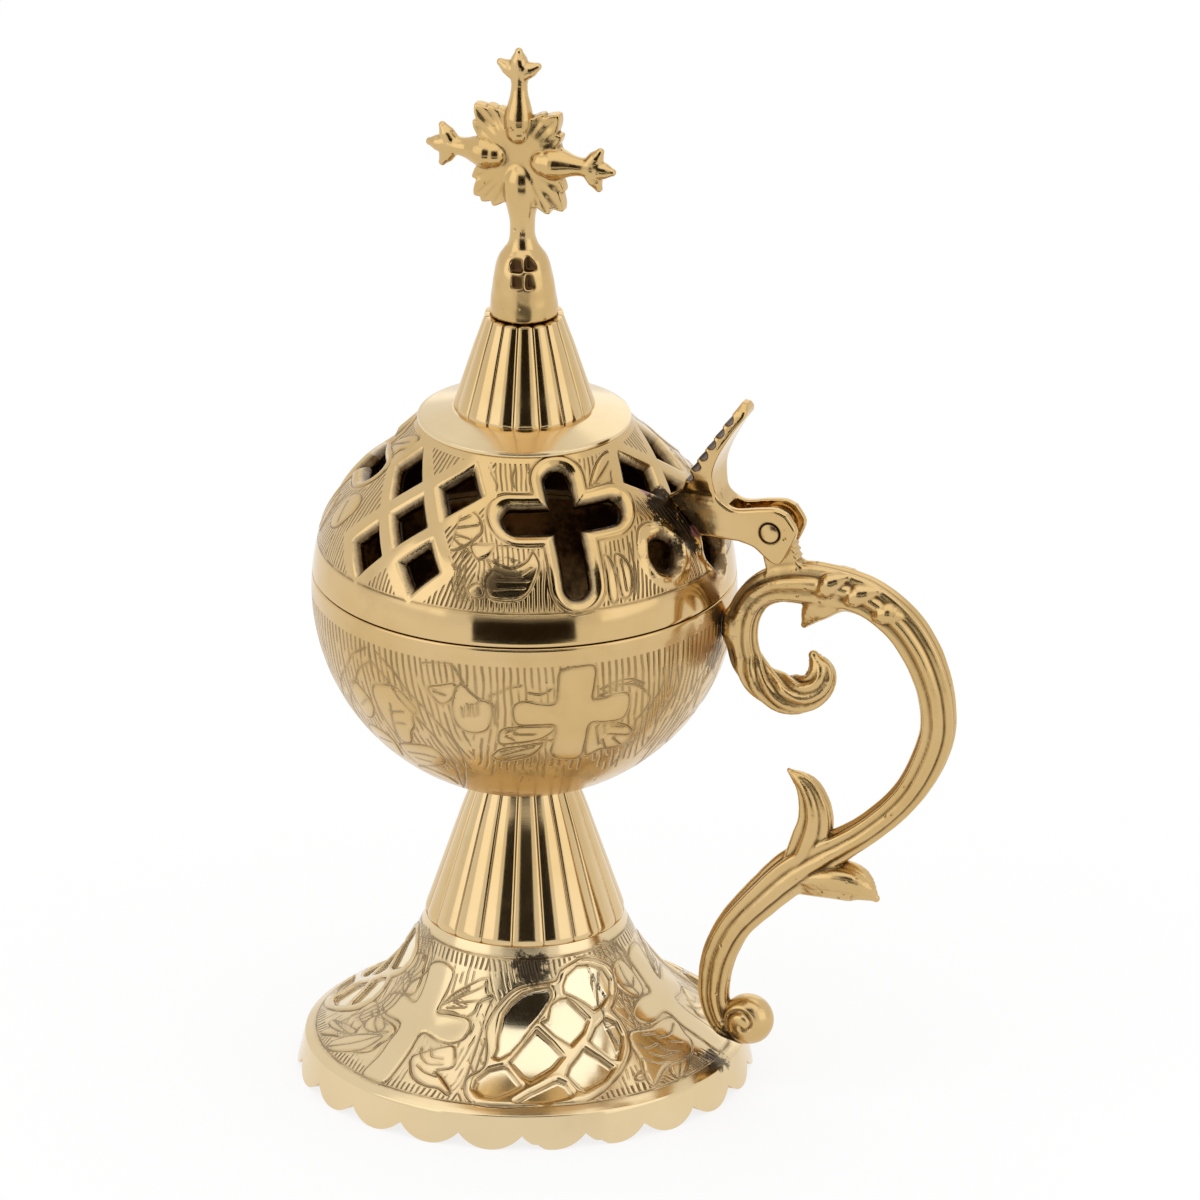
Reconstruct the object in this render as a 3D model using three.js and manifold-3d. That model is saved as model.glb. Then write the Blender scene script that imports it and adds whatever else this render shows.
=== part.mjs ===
// Standing hand censer in cast brass: scalloped foot, reeded stem, bowl, pierced lid with a reeded
// spire and a budded cross, S-scroll handle and a thumb lever that tips the lid back on its pin.
// Millimetres, +Z up. The handle points along +X and the foot stands on the plane z = 0.
import * as THREE from 'three';
import { mergeVertices } from 'three/addons/utils/BufferGeometryUtils.js';
import Module from 'manifold-3d';

const wasm = await Module();
wasm.setup();

// Clearances
const SEAT_GAP = 0.05;
const BRAZE_GAP = 0.3;
const BOLT_CLEARANCE = 0.15;
const HINGE_CLEARANCE = 0.12;
const CHEEK_CLEARANCE = 0.35;
const PAN_CLEARANCE = 0.4;

// Foot: flared lip with a scalloped edge, then a bell-shaped skirt
const FOOT_RADIUS = 45.9;
const FOOT_WALL = 1.9;
const SCALLOP_COUNT = 22;
const SCALLOP_DEPTH = 2.8;
const SCALLOP_PHASE = THREE.MathUtils.degToRad(3);
const LIP_HEIGHT = 6.8;
const LIP_FLARE = 1.6;
const SKIRT_HEIGHT = 33;
const NECK_RADIUS = 19.9;
const SKIRT_LOW_PULL = { inward: 12.1, up: 6.6 };
const SKIRT_HIGH_PULL = { outward: 6.4, down: 15.1 };
const FOOT_WEB = 2.6;

// Stem: reeded cone
const STEM_BASE_RADIUS = 20.3;
const STEM_TOP_RADIUS = 10.3;
const STEM_HEIGHT = 29.4;
const STEM_REEDS = 19;
const STEM_REED_HEIGHT = 0.6;
const STEM_WALL = 2.6;
const STEM_WEB = 3;

// Bowl: part of a sphere with a flat seat on the stem
const BOWL_RADIUS = 42.6;
const BOWL_WALL = 2.4;
const BOWL_SEAT_RADIUS = 11.2;
const BOWL_RIM_ABOVE_CENTRE = 3.3;
const BOWL_FLOOR = 2.6;

// Lid: domed shell with six pierced motifs
const SEAM_GAP = 0.3;
const LID_RISE = 32;
const LID_TOP_RADIUS = 21;
const LID_WALL = 2.4;
const LID_LOW_PULL = { inward: 1.6, up: 16 };
const LID_HIGH_PULL = { outward: 12.7, down: 13.7 };
const LID_WEB = 2.4;
const MOTIF_TURN = 60;
const FIRST_CROSS_ANGLE = -54;
const BEVEL_WIDTH = 1.7;
const BEVEL_DEPTH = 1.5;
const CROSS_CENTRE_UP = 26.2;
const CROSS_ARM_REACH = 14.2;
const CROSS_TOP_REACH = 12;
const CROSS_FOOT_REACH = 18.4;
const CROSS_BAR_HALF = 4;
const LATTICE_CENTRE_UP = 22.4;
const LATTICE_STEP_ACROSS = 7.4;
const LATTICE_STEP_UP = 8.6;
const LATTICE_BAR = 1.9;
const HINGE_LATTICE_TURN = -2;
const ROUND_HOLE_RADIUS = 4.7;
const ROUND_HOLES = [{ turn: -22.5, up: 14.3 }, { turn: 0, up: 9.8 }];

// Spire: collar and reeded cone on top of the lid
const COLLAR_RADIUS = 21.4;
const COLLAR_EDGE = 0.9;
const COLLAR_RISE = 2.9;
const SPIRE_BASE_RADIUS = 14.4;
const SPIRE_TOP_RADIUS = 7.9;
const SPIRE_HEIGHT = 19.9;
const SPIRE_REEDS = 16;
const SPIRE_REED_HEIGHT = 0.5;
const SPIRE_WALL = 2.4;
const SPIRE_WEB = 3;

// Cross finial: bell socket, neck and a cross with budded ends and leaf bursts
const BELL_RADIUS = 6.9;
const BELL_TAPER = 1.2;
const BELL_SIDE_HEIGHT = 8.4;
const BELL_SHOULDER = { radius: 4.9, height: 12.2 };
const BELL_TOP = { radius: 3.1, height: 14.6 };
const NECK_MIN = { radius: 2.6, height: 17.6 };
const NECK_FLARE = { radius: 2.9, height: 21.6 };
const CROSS_CENTRE_HEIGHT = 33.4;
const SIDE_ARM_REACH = 19.3;
const TOP_ARM_REACH = 22.9;
const ARM_BLOB = { radius: 3.2, from: 1, to: 6, end: 9 };
const ARM_NECK_RADIUS = 2;
const LOWER_BLOB = { radius: 3.9, from: 4, to: 7.3 };
const CORE_SINK = 1.5;
const BUD_LENGTH = 6;
const BUD_THICKNESS = 3;
const BUD_SPREAD = 4.5;
const BUD_SHOULDER_DROP = 3.4;
const BUD_VALLEY_DROP = 2.8;
const BUD_TIP_HALF = 1;
const BURST_REACH = 13.8;
const BURST_SIDE_REACH = 11.4;
const BURST_VALLEY = 8.4;
const BURST_ROOT = 4;
const BURST_TURNS = { valley: 11, side: 20, root: 35 };
const QUARTER_TURN = 90;
const BURST_THICKNESS = 2.4;
const SOCKET_SIDES = 20;
const ARM_SIDES = 8;

// Threaded rods with their nuts and washers, and the loose charcoal pan
const ROD_RADIUS = 2;
const NUT_ACROSS_CORNERS = 8.2;
const NUT_HEIGHT = 3.2;
const NUT_SIDES = 6;
const BOLT_HEAD_RADIUS = 4.4;
const BOLT_HEAD_HEIGHT = 2.6;
const WASHER_RADIUS = 6;
const WASHER_THICKNESS = 1;
const ROD_END_PAST_NUT = 1.6;
const SOCKET_DEPTH = 10;
const PAN_FLOOR_RADIUS = 20.5;
const PAN_RIM_INSET = 1.8;
const PAN_HEIGHT = 14;
const PAN_WALL = 1.2;

// Hinge and thumb lever, as offsets from the hinge pin
const HINGE_REACH = 10.8;
const HINGE_RISE = 16.1;
const PIN_RADIUS = 2;
const FORK_WIDTH = 7.6;
const SLOT_WIDTH = 4.2;
const SLOT_REACH = 9.2;
const LEAF_WIDTH = 10.4;
const KNUCKLE_RADIUS = 4.1;
const KNUCKLE_DROP = 11;
const KNUCKLE_FOOT_INNER = 1.2;
const KNUCKLE_FOOT_OUTER = 6.1;
const ROOT_BITE = 2;
const GRIP_COUNT = 6;
const GRIP_DEPTH = 0.7;
const GRIP_WIDTH = 1.1;
const GRIP_OVERRUN = 1.2;
const GRIP_START = new THREE.Vector2(-17.4, 9.6);
const GRIP_END = new THREE.Vector2(-8.3, 24.1);
const SLOT_PAST_PIN = 12;
const SLOT_HEIGHT = 24;
const PIN_OVERHANG = 0.2;
const LEVER_FORK = [
  [-6.6, -2.8], [-3.6, -3.6], [-1.3, -5.4], [0.4, -6.5], [2.1, -6.4], [4, -3.1],
  [5.4, 0.1], [5.2, 1.8], [3.5, 4.3], [1.1, 5.1], [-2.5, 4.7], [-7.2, 3.9],
];
const LEVER_BACK = [[-9.8, 4.9], [-11.2, 6.5], [-11.8, 9.5], [-11.7, 12], [-10.5, 15.4], [-8, 19.9]];
const LEVER_TIP = [[-5.6, 23.4], [-5.4, 25.2], [-6.8, 26.4]];
const LEVER_FRONT = [[-9.8, 21.8], [-13.2, 16.6], [-16.4, 11.8], [-18.4, 7.3]];
const LEVER_ROOT_RISES = [4.2, 0.8, -2.6];

// Across the lever, as [inset from the leaf's half width, rise above the pin]
const LEAF_INSETS = [[0.6, 9], [0, 12], [0, 16], [0.9, 20], [2.6, 24], [4.2, 27]];
const FORK_TOP = 5.5;
const FORK_BOTTOM = -8;

// Handle: roundness across the scroll, reeds round it, and the saddle that meets the bowl
const HANDLE_DEPTH_SHARE = 0.86;
const HANDLE_MAX_DEPTH = 3.6;
const HANDLE_REEDS = 6;
const HANDLE_REED_SHARE = 0.07;
const SADDLE_HALF_HEIGHT = 4.4;
const SADDLE_RISE = 2.2;
const SADDLE_WIDTH = 5;
const VOLUTE_RADIUS = 5.2;
const VOLUTE_DEPTH = 4.4;

// Fineness of the round surfaces
const ROUND_STEPS = 48;
const SKIRT_SPANS = 5;
const LID_SPANS = 7;
const BOWL_SPANS = 8;
const STEPS_PER_SCALLOP = 5;
const STEPS_PER_REED = 4;
const ROD_SIDES = 16;
const PIN_SIDES = 24;
const HANDLE_SIDES = 12;

// Levels worked out from the sizes above
const stemBase = SKIRT_HEIGHT + SEAT_GAP;
const stemTop = stemBase + STEM_HEIGHT;
const bowlBottom = stemTop + SEAT_GAP;
const bowlCentre = bowlBottom + Math.sqrt(BOWL_RADIUS ** 2 - BOWL_SEAT_RADIUS ** 2);
const bowlRim = bowlCentre + BOWL_RIM_ABOVE_CENTRE;
const rimRadius = Math.sqrt(BOWL_RADIUS ** 2 - BOWL_RIM_ABOVE_CENTRE ** 2);
const bowlFloorTop = bowlBottom + BOWL_FLOOR;
const lidRim = bowlRim + SEAM_GAP;
const lidTop = lidRim + LID_RISE;
const spireSeat = lidTop + SEAT_GAP;
const spireBase = spireSeat + COLLAR_RISE;
const spireTop = spireBase + SPIRE_HEIGHT;
const finialSeat = spireTop + SEAT_GAP;
const crossCentre = finialSeat + CROSS_CENTRE_HEIGHT;
const rodHole = ROD_RADIUS + BOLT_CLEARANCE;
const hinge = new THREE.Vector3(rimRadius + HINGE_REACH, 0, lidRim + HINGE_RISE);

// Colours
const POLISHED = { color: 0xd8b878, roughness: 0.22, metalness: 1 };
const ENGRAVED = { color: 0xcfae6e, roughness: 0.35, metalness: 1 };
const CAST = { color: 0xc09a58, roughness: 0.4, metalness: 1 };
const SOOTED = { color: 0x8a6f42, roughness: 0.55, metalness: 1 };

// Solids from rings of points
function polar(radius, angle, z) {
  return new THREE.Vector3(radius * Math.cos(angle), radius * Math.sin(angle), z);
}

function circle(radius, z, steps = ROUND_STEPS, phase = 0) {
  const at = (i) => polar(radius, phase + (2 * Math.PI * i) / steps, z);
  return Array.from({ length: steps }, (_, i) => at(i));
}

function signedVolume(positions, index) {
  const corner = (k) => new THREE.Vector3().fromArray(positions, index[k] * 3);
  let volume = 0;
  for (let k = 0; k < index.length; k += 3) {
    volume += corner(k).dot(corner(k + 1).cross(corner(k + 2)));
  }
  return volume;
}

function closedBody(points, index) {
  const positions = points.flatMap((p) => [p.x, p.y, p.z]);
  const outward = signedVolume(positions, index) > 0 ? index : [...index].reverse();
  const body = new THREE.BufferGeometry();
  body.setAttribute('position', new THREE.Float32BufferAttribute(positions, 3));
  body.setIndex(outward);
  return body;
}

function sideFaces(rings, loops) {
  const n = rings[0].length;
  const index = [];
  const spans = loops ? rings.length : rings.length - 1;
  for (let r = 0; r < spans; r++) {
    const here = r * n;
    const next = ((r + 1) % rings.length) * n;
    for (let i = 0; i < n; i++) {
      const j = (i + 1) % n;
      index.push(here + i, here + j, next + j, here + i, next + j, next + i);
    }
  }
  return index;
}

// A shell of revolution whose rings run outside, over the edge and back inside
function ringShell(rings) {
  return closedBody(rings.flat(), sideFaces(rings, true));
}

// A loft with both ends closed by the triangles of a flat outline
function cappedLoft(rings, outline) {
  const n = rings[0].length;
  const last = (rings.length - 1) * n;
  const index = sideFaces(rings, false);
  for (const [a, b, c] of THREE.ShapeUtils.triangulateShape(outline, [])) {
    index.push(c, b, a, last + a, last + b, last + c);
  }
  return closedBody(rings.flat(), index);
}

function toSolid(geometry) {
  const bare = geometry.clone();
  bare.deleteAttribute('normal');
  bare.deleteAttribute('uv');
  const merged = mergeVertices(bare, 1e-4);
  const vertProperties = new Float32Array(merged.attributes.position.array);
  const triVerts = new Uint32Array(merged.index.array);
  return new wasm.Manifold(new wasm.Mesh({ numProp: 3, vertProperties, triVerts }));
}

function toGeometry(solid) {
  const mesh = solid.getMesh();
  const geometry = new THREE.BufferGeometry();
  geometry.setAttribute('position', new THREE.BufferAttribute(mesh.vertProperties, 3));
  geometry.setIndex(new THREE.BufferAttribute(mesh.triVerts, 1));
  return geometry;
}

function join(...geometries) {
  return toGeometry(geometries.map(toSolid).reduce((a, b) => a.add(b)));
}

function cut(geometry, ...tools) {
  return toGeometry(tools.map(toSolid).reduce((a, b) => a.subtract(b), toSolid(geometry)));
}

function common(a, b) {
  return toGeometry(toSolid(a).intersect(toSolid(b)));
}

// An outline in the XZ plane, made as thick as asked for across Y
function plateXZ(outline, thickness) {
  const shape = new THREE.Shape(outline);
  const plate = new THREE.ExtrudeGeometry(shape, { depth: thickness, bevelEnabled: false });
  return plate.rotateX(Math.PI / 2).translate(0, thickness / 2, 0);
}

function rodZ(radius, bottom, top, sides = ROD_SIDES) {
  const rod = new THREE.CylinderGeometry(radius, radius, top - bottom, sides);
  return rod.rotateX(Math.PI / 2).translate(0, 0, (top + bottom) / 2);
}

function rodY(radius, length, sides = PIN_SIDES) {
  return new THREE.CylinderGeometry(radius, radius, length, sides);
}

// Outlines of the skirt and the lid: one curve each, offset inwards for the wall
function curveRings(curve, count, wall) {
  return Array.from({ length: count + 1 }, (_, i) => {
    const point = curve.getPoint(i / count);
    const along = curve.getTangent(i / count);
    return new THREE.Vector2(point.x - wall * along.y, point.y + wall * along.x);
  });
}

// An inner outline, stopped where it reaches the underside of the web above it
function stopAt(points, ceiling) {
  const below = points.filter((p) => p.y < ceiling);
  const last = below[below.length - 1];
  const next = points[below.length];
  return [...below, last.clone().lerp(next, (ceiling - last.y) / (next.y - last.y))];
}

const skirtStart = new THREE.Vector2(FOOT_RADIUS - LIP_FLARE, LIP_HEIGHT);
const skirtEnd = new THREE.Vector2(NECK_RADIUS, SKIRT_HEIGHT);
const skirtCurve = new THREE.CubicBezierCurve(
  skirtStart,
  new THREE.Vector2(skirtStart.x - SKIRT_LOW_PULL.inward, skirtStart.y + SKIRT_LOW_PULL.up),
  new THREE.Vector2(skirtEnd.x + SKIRT_HIGH_PULL.outward, skirtEnd.y - SKIRT_HIGH_PULL.down),
  skirtEnd,
);

const lidStart = new THREE.Vector2(rimRadius, lidRim);
const lidEnd = new THREE.Vector2(LID_TOP_RADIUS, lidTop);
const lidCurve = new THREE.CubicBezierCurve(
  lidStart,
  new THREE.Vector2(lidStart.x - LID_LOW_PULL.inward, lidStart.y + LID_LOW_PULL.up),
  new THREE.Vector2(lidEnd.x + LID_HIGH_PULL.outward, lidEnd.y - LID_HIGH_PULL.down),
  lidEnd,
);

// Foot
function scallopLift(step) {
  const pitch = (2 * Math.PI * FOOT_RADIUS) / SCALLOP_COUNT;
  const arc = (pitch ** 2 / 4 + SCALLOP_DEPTH ** 2) / (2 * SCALLOP_DEPTH);
  const lift = (share) => arc - Math.sqrt(arc ** 2 - (share * pitch) ** 2);
  const flat = 0.5 / STEPS_PER_SCALLOP;
  const share = (step % STEPS_PER_SCALLOP) / STEPS_PER_SCALLOP - 0.5;
  return lift(share) - lift(flat);
}

function foot() {
  const steps = SCALLOP_COUNT * STEPS_PER_SCALLOP;
  const start = SCALLOP_PHASE - Math.PI / SCALLOP_COUNT;
  const plain = (radius, z) => circle(radius, z, steps, start);
  const lip = (radius) => plain(radius, 0).map((p, i) => p.setZ(scallopLift(i)));
  const outer = curveRings(skirtCurve, SKIRT_SPANS, 0).map((p) => plain(p.x, p.y));
  const webUnder = SKIRT_HEIGHT - FOOT_WEB;
  const inner = stopAt(curveRings(skirtCurve, SKIRT_SPANS, FOOT_WALL), webUnder).reverse();
  return ringShell([
    lip(FOOT_RADIUS),
    ...outer,
    plain(rodHole, SKIRT_HEIGHT),
    plain(rodHole, webUnder),
    ...inner.map((p) => plain(p.x, p.y)),
    lip(FOOT_RADIUS - FOOT_WALL),
  ]);
}

// Reeded cones: each reed is a rounded rib, with a sharp valley between two of them
function reedRing(radius, z, count, height) {
  const steps = count * STEPS_PER_REED;
  return circle(radius, z, steps).map((p, i) => {
    const share = (i % STEPS_PER_REED) / STEPS_PER_REED;
    const drop = height * (2 * share - 1) ** 2;
    return p.multiply(new THREE.Vector3(1 - drop / radius, 1 - drop / radius, 1));
  });
}

function stem() {
  const steps = STEM_REEDS * STEPS_PER_REED;
  const topReed = (STEM_REED_HEIGHT * STEM_TOP_RADIUS) / STEM_BASE_RADIUS;
  const webUnder = stemTop - STEM_WEB;
  return ringShell([
    reedRing(STEM_BASE_RADIUS, stemBase, STEM_REEDS, STEM_REED_HEIGHT),
    reedRing(STEM_TOP_RADIUS, stemTop, STEM_REEDS, topReed),
    circle(rodHole, stemTop, steps),
    circle(rodHole, webUnder, steps),
    circle(STEM_TOP_RADIUS - STEM_WALL, webUnder, steps),
    circle(STEM_BASE_RADIUS - STEM_WALL, stemBase, steps),
  ]);
}

function spire() {
  const steps = SPIRE_REEDS * STEPS_PER_REED;
  const topReed = (SPIRE_REED_HEIGHT * SPIRE_TOP_RADIUS) / SPIRE_BASE_RADIUS;
  const webUnder = spireTop - SPIRE_WEB;
  return ringShell([
    circle(COLLAR_RADIUS, spireSeat, steps),
    circle(COLLAR_RADIUS, spireSeat + COLLAR_EDGE, steps),
    circle(SPIRE_BASE_RADIUS, spireBase, steps),
    reedRing(SPIRE_BASE_RADIUS, spireBase + SEAT_GAP, SPIRE_REEDS, SPIRE_REED_HEIGHT),
    reedRing(SPIRE_TOP_RADIUS, spireTop, SPIRE_REEDS, topReed),
    circle(rodHole, spireTop, steps),
    circle(rodHole, webUnder, steps),
    circle(SPIRE_TOP_RADIUS - SPIRE_WALL, webUnder, steps),
    circle(SPIRE_BASE_RADIUS - SPIRE_WALL, spireSeat, steps),
  ]);
}

// Bowl
function sphereRing(radius, z) {
  return circle(Math.sqrt(radius ** 2 - (z - bowlCentre) ** 2), z);
}

function sphereRings(radius, low, high, count) {
  const angle = (z) => Math.asin((z - bowlCentre) / radius);
  const turn = (i) => angle(low) + ((angle(high) - angle(low)) * i) / count;
  const rings = Array.from({ length: count + 1 }, (_, i) => bowlCentre + radius * Math.sin(turn(i)));
  return rings.map((z) => sphereRing(radius, z));
}

function bowl() {
  return ringShell([
    ...sphereRings(BOWL_RADIUS, bowlBottom, bowlRim, BOWL_SPANS),
    ...sphereRings(BOWL_RADIUS - BOWL_WALL, bowlFloorTop, bowlRim, BOWL_SPANS).reverse(),
    circle(rodHole, bowlFloorTop),
    circle(rodHole, bowlBottom),
  ]);
}

// Lid: positions on its outer surface, given across and up from the rim
const lidArc = lidCurve.getLength();

function lidPoint(up, lift) {
  const share = up / lidArc;
  const point = lidCurve.getPointAt(THREE.MathUtils.clamp(share, 0, 1));
  const along = lidCurve.getTangentAt(THREE.MathUtils.clamp(share, 0, 1));
  return new THREE.Vector2(point.x + lift * along.y, point.y - lift * along.x);
}

function onLid(across, up, angle, lift) {
  const surface = lidPoint(up, 0);
  const lifted = lidPoint(up, lift);
  return polar(lifted.x, THREE.MathUtils.degToRad(angle) + across / surface.x, lifted.y);
}

// Moves each side of an outline inwards by the same amount
function inset(outline, amount) {
  const n = outline.length;
  const area = THREE.ShapeUtils.area(outline);
  const normal = (i) => {
    const side = outline[(i + 1) % n].clone().sub(outline[i % n]).normalize();
    return new THREE.Vector2(-side.y, side.x).multiplyScalar(Math.sign(area));
  };
  return outline.map((p, i) => {
    const before = normal(i + n - 1);
    const after = normal(i);
    const middle = before.clone().add(after).multiplyScalar(1 / (1 + before.dot(after)));
    return p.clone().addScaledVector(middle, amount);
  });
}

// A cutter with a bevelled mouth: narrow through the wall, opening out to the outline
function piercing(outline, angle) {
  const mouth = BEVEL_WIDTH / BEVEL_DEPTH;
  const through = LID_WALL + BEVEL_DEPTH;
  const ring = (points, lift) => points.map((p) => onLid(p.x, p.y, angle, lift));
  const narrow = inset(outline, BEVEL_WIDTH);
  return cappedLoft([
    ring(narrow, -through),
    ring(narrow, -BEVEL_DEPTH),
    ring(inset(outline, -BEVEL_DEPTH * mouth), BEVEL_DEPTH),
  ], outline);
}

function arcPoints(x, y, radius, from, to, steps) {
  const turn = (i) => THREE.MathUtils.degToRad(from + ((to - from) * i) / steps);
  const at = (i) => new THREE.Vector2(x + radius * Math.cos(turn(i)), y + radius * Math.sin(turn(i)));
  return Array.from({ length: steps + 1 }, (_, i) => at(i));
}

function crossOutline() {
  const h = CROSS_BAR_HALF;
  const y = CROSS_CENTRE_UP;
  const right = CROSS_ARM_REACH - h;
  const top = y + CROSS_TOP_REACH - h;
  const low = y - CROSS_FOOT_REACH + h;
  return [
    new THREE.Vector2(h, y + h),
    ...arcPoints(0, top, h, 0, 180, 4),
    new THREE.Vector2(-h, y + h),
    ...arcPoints(-right, y, h, 90, 270, 4),
    new THREE.Vector2(-h, y - h),
    new THREE.Vector2(-h, y - 2 * h),
    ...arcPoints(0, low, h, 180, 360, 4),
    new THREE.Vector2(h, y - 2 * h),
    new THREE.Vector2(h, y - h),
    ...arcPoints(right, y, h, -90, 90, 4),
  ];
}

function diamondOutline(x, y) {
  const bar = (LATTICE_BAR / 2) * Math.hypot(1 / LATTICE_STEP_ACROSS, 1 / LATTICE_STEP_UP);
  const w = LATTICE_STEP_ACROSS * (1 - bar);
  const h = LATTICE_STEP_UP * (1 - bar);
  const corners = [[w, 0], [0, h], [-w, 0], [0, -h]];
  return corners.map(([a, b]) => new THREE.Vector2(x + a, y + b));
}

function lattice(angle, cells) {
  const cell = (i, j) => [i * LATTICE_STEP_ACROSS, LATTICE_CENTRE_UP + j * LATTICE_STEP_UP];
  return cells.map(([i, j]) => piercing(diamondOutline(...cell(i, j)), angle));
}

function roundHoles() {
  return ROUND_HOLES.map(({ turn, up }) => {
    const outline = arcPoints(0, up, ROUND_HOLE_RADIUS, 0, 360, 12).slice(0, -1);
    return piercing(outline, turn);
  });
}

function lid() {
  const outer = curveRings(lidCurve, LID_SPANS, 0).map((p) => circle(p.x, p.y));
  const webUnder = lidTop - LID_WEB;
  const inner = stopAt(curveRings(lidCurve, LID_SPANS, LID_WALL), webUnder).reverse();
  const shell = ringShell([
    ...outer,
    circle(rodHole, lidTop),
    circle(rodHole, webUnder),
    ...inner.slice(0, -1).map((p) => circle(p.x, p.y)),
    circle(rimRadius - LID_WALL, lidRim),
  ]);
  const upperCells = [[0, 0], [-1, 1], [1, 1]];
  const lowerCells = [[-1, -1], [1, -1]];
  const cutters = roundHoles();
  for (let k = 0; k < 3; k++) {
    const angle = FIRST_CROSS_ANGLE + 2 * k * MOTIF_TURN;
    cutters.push(piercing(crossOutline(), angle));
    const atHinge = k === 0;
    const turn = atHinge ? HINGE_LATTICE_TURN : 0;
    const cells = atHinge ? upperCells : [...upperCells, ...lowerCells];
    cutters.push(...lattice(angle + MOTIF_TURN + turn, cells));
  }
  return cut(shell, ...cutters);
}

// Cross finial
function turned(profile, sides, lift = 0) {
  const points = profile.map(([r, z]) => new THREE.Vector2(r, z + lift));
  return new THREE.LatheGeometry(points, sides).rotateX(Math.PI / 2);
}

function finial() {
  const blobLow = CROSS_CENTRE_HEIGHT - LOWER_BLOB.to;
  const blobHigh = CROSS_CENTRE_HEIGHT - LOWER_BLOB.from;
  const bell = turned([
    [0, 0],
    [BELL_RADIUS, 0],
    [BELL_RADIUS - BELL_TAPER / 4, BELL_SIDE_HEIGHT / 2],
    [BELL_RADIUS - BELL_TAPER, BELL_SIDE_HEIGHT],
    [BELL_SHOULDER.radius, BELL_SHOULDER.height],
    [BELL_TOP.radius, BELL_TOP.height],
    [NECK_MIN.radius, NECK_MIN.height],
    [NECK_FLARE.radius, NECK_FLARE.height],
    [LOWER_BLOB.radius, blobLow],
    [ARM_BLOB.radius, blobHigh],
    [0, CROSS_CENTRE_HEIGHT - CORE_SINK],
  ], SOCKET_SIDES, finialSeat);
  const socket = rodZ(rodHole, finialSeat - SOCKET_DEPTH, finialSeat + SOCKET_DEPTH);
  const parts = [arm(TOP_ARM_REACH, 0), arm(SIDE_ARM_REACH, 90), arm(SIDE_ARM_REACH, -90), burst()];
  return cut(join(bell, ...parts), socket);
}

function arm(reach, turn) {
  const budStart = reach - BUD_LENGTH;
  const shaft = turned([
    [0, -CORE_SINK],
    [ARM_BLOB.radius, ARM_BLOB.from],
    [ARM_BLOB.radius, ARM_BLOB.to],
    [(ARM_BLOB.radius + ARM_NECK_RADIUS) / 2, ARM_BLOB.end],
    [ARM_NECK_RADIUS, budStart],
    [0, reach - BUD_VALLEY_DROP],
  ], ARM_SIDES);
  const half = [
    new THREE.Vector2(ARM_NECK_RADIUS, budStart),
    new THREE.Vector2(BUD_SPREAD, reach - BUD_SHOULDER_DROP),
    new THREE.Vector2(ARM_NECK_RADIUS, reach - BUD_VALLEY_DROP),
    new THREE.Vector2(BUD_TIP_HALF, reach),
  ];
  const outline = [...half, ...half.map((p) => new THREE.Vector2(-p.x, p.y)).reverse()];
  const whole = join(shaft, plateXZ(outline, BUD_THICKNESS));
  return whole.rotateY(THREE.MathUtils.degToRad(turn)).translate(0, 0, crossCentre);
}

function burst() {
  const { valley, side, root } = BURST_TURNS;
  const quarter = [
    [-root, BURST_ROOT], [-side, BURST_SIDE_REACH], [-valley, BURST_VALLEY], [0, BURST_REACH],
    [valley, BURST_VALLEY], [side, BURST_SIDE_REACH], [root, BURST_ROOT],
  ];
  const corner = (middle) => quarter.map(([offset, radius]) => {
    const angle = THREE.MathUtils.degToRad(middle + offset);
    return new THREE.Vector2(radius * Math.cos(angle), radius * Math.sin(angle));
  });
  const outline = [0, 1, 2, 3].flatMap((turn) => corner((turn + 0.5) * QUARTER_TURN));
  return plateXZ(outline, BURST_THICKNESS).translate(0, 0, crossCentre);
}

// Fasteners
function hexNut(bottom) {
  const shape = new THREE.Shape(arcPoints(0, 0, NUT_ACROSS_CORNERS / 2, 0, 360, NUT_SIDES).slice(0, -1));
  shape.holes.push(new THREE.Path(arcPoints(0, 0, rodHole, 0, -360, ROD_SIDES).slice(0, -1)));
  const nut = new THREE.ExtrudeGeometry(shape, { depth: NUT_HEIGHT, bevelEnabled: false });
  return nut.translate(0, 0, bottom);
}

function washer(bottom) {
  const shape = new THREE.Shape(arcPoints(0, 0, WASHER_RADIUS, 0, 360, ROD_SIDES).slice(0, -1));
  shape.holes.push(new THREE.Path(arcPoints(0, 0, rodHole, 0, -360, ROD_SIDES).slice(0, -1)));
  const ring = new THREE.ExtrudeGeometry(shape, { depth: WASHER_THICKNESS, bevelEnabled: false });
  return ring.translate(0, 0, bottom);
}

const tieWasherLow = SKIRT_HEIGHT - FOOT_WEB - SEAT_GAP - WASHER_THICKNESS;
const tieNutLow = tieWasherLow - SEAT_GAP - NUT_HEIGHT;
const spireWasherLow = lidTop - LID_WEB - SEAT_GAP - WASHER_THICKNESS;
const spireNutLow = spireWasherLow - SEAT_GAP - NUT_HEIGHT;

function tieBolt() {
  const headLow = bowlFloorTop + SEAT_GAP;
  const head = rodZ(BOLT_HEAD_RADIUS, headLow, headLow + BOLT_HEAD_HEIGHT, NUT_SIDES);
  return join(rodZ(ROD_RADIUS, tieNutLow - ROD_END_PAST_NUT, headLow + 1), head);
}

function spireStud() {
  return rodZ(ROD_RADIUS, spireNutLow - ROD_END_PAST_NUT, finialSeat + SOCKET_DEPTH - SEAT_GAP);
}

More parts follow.
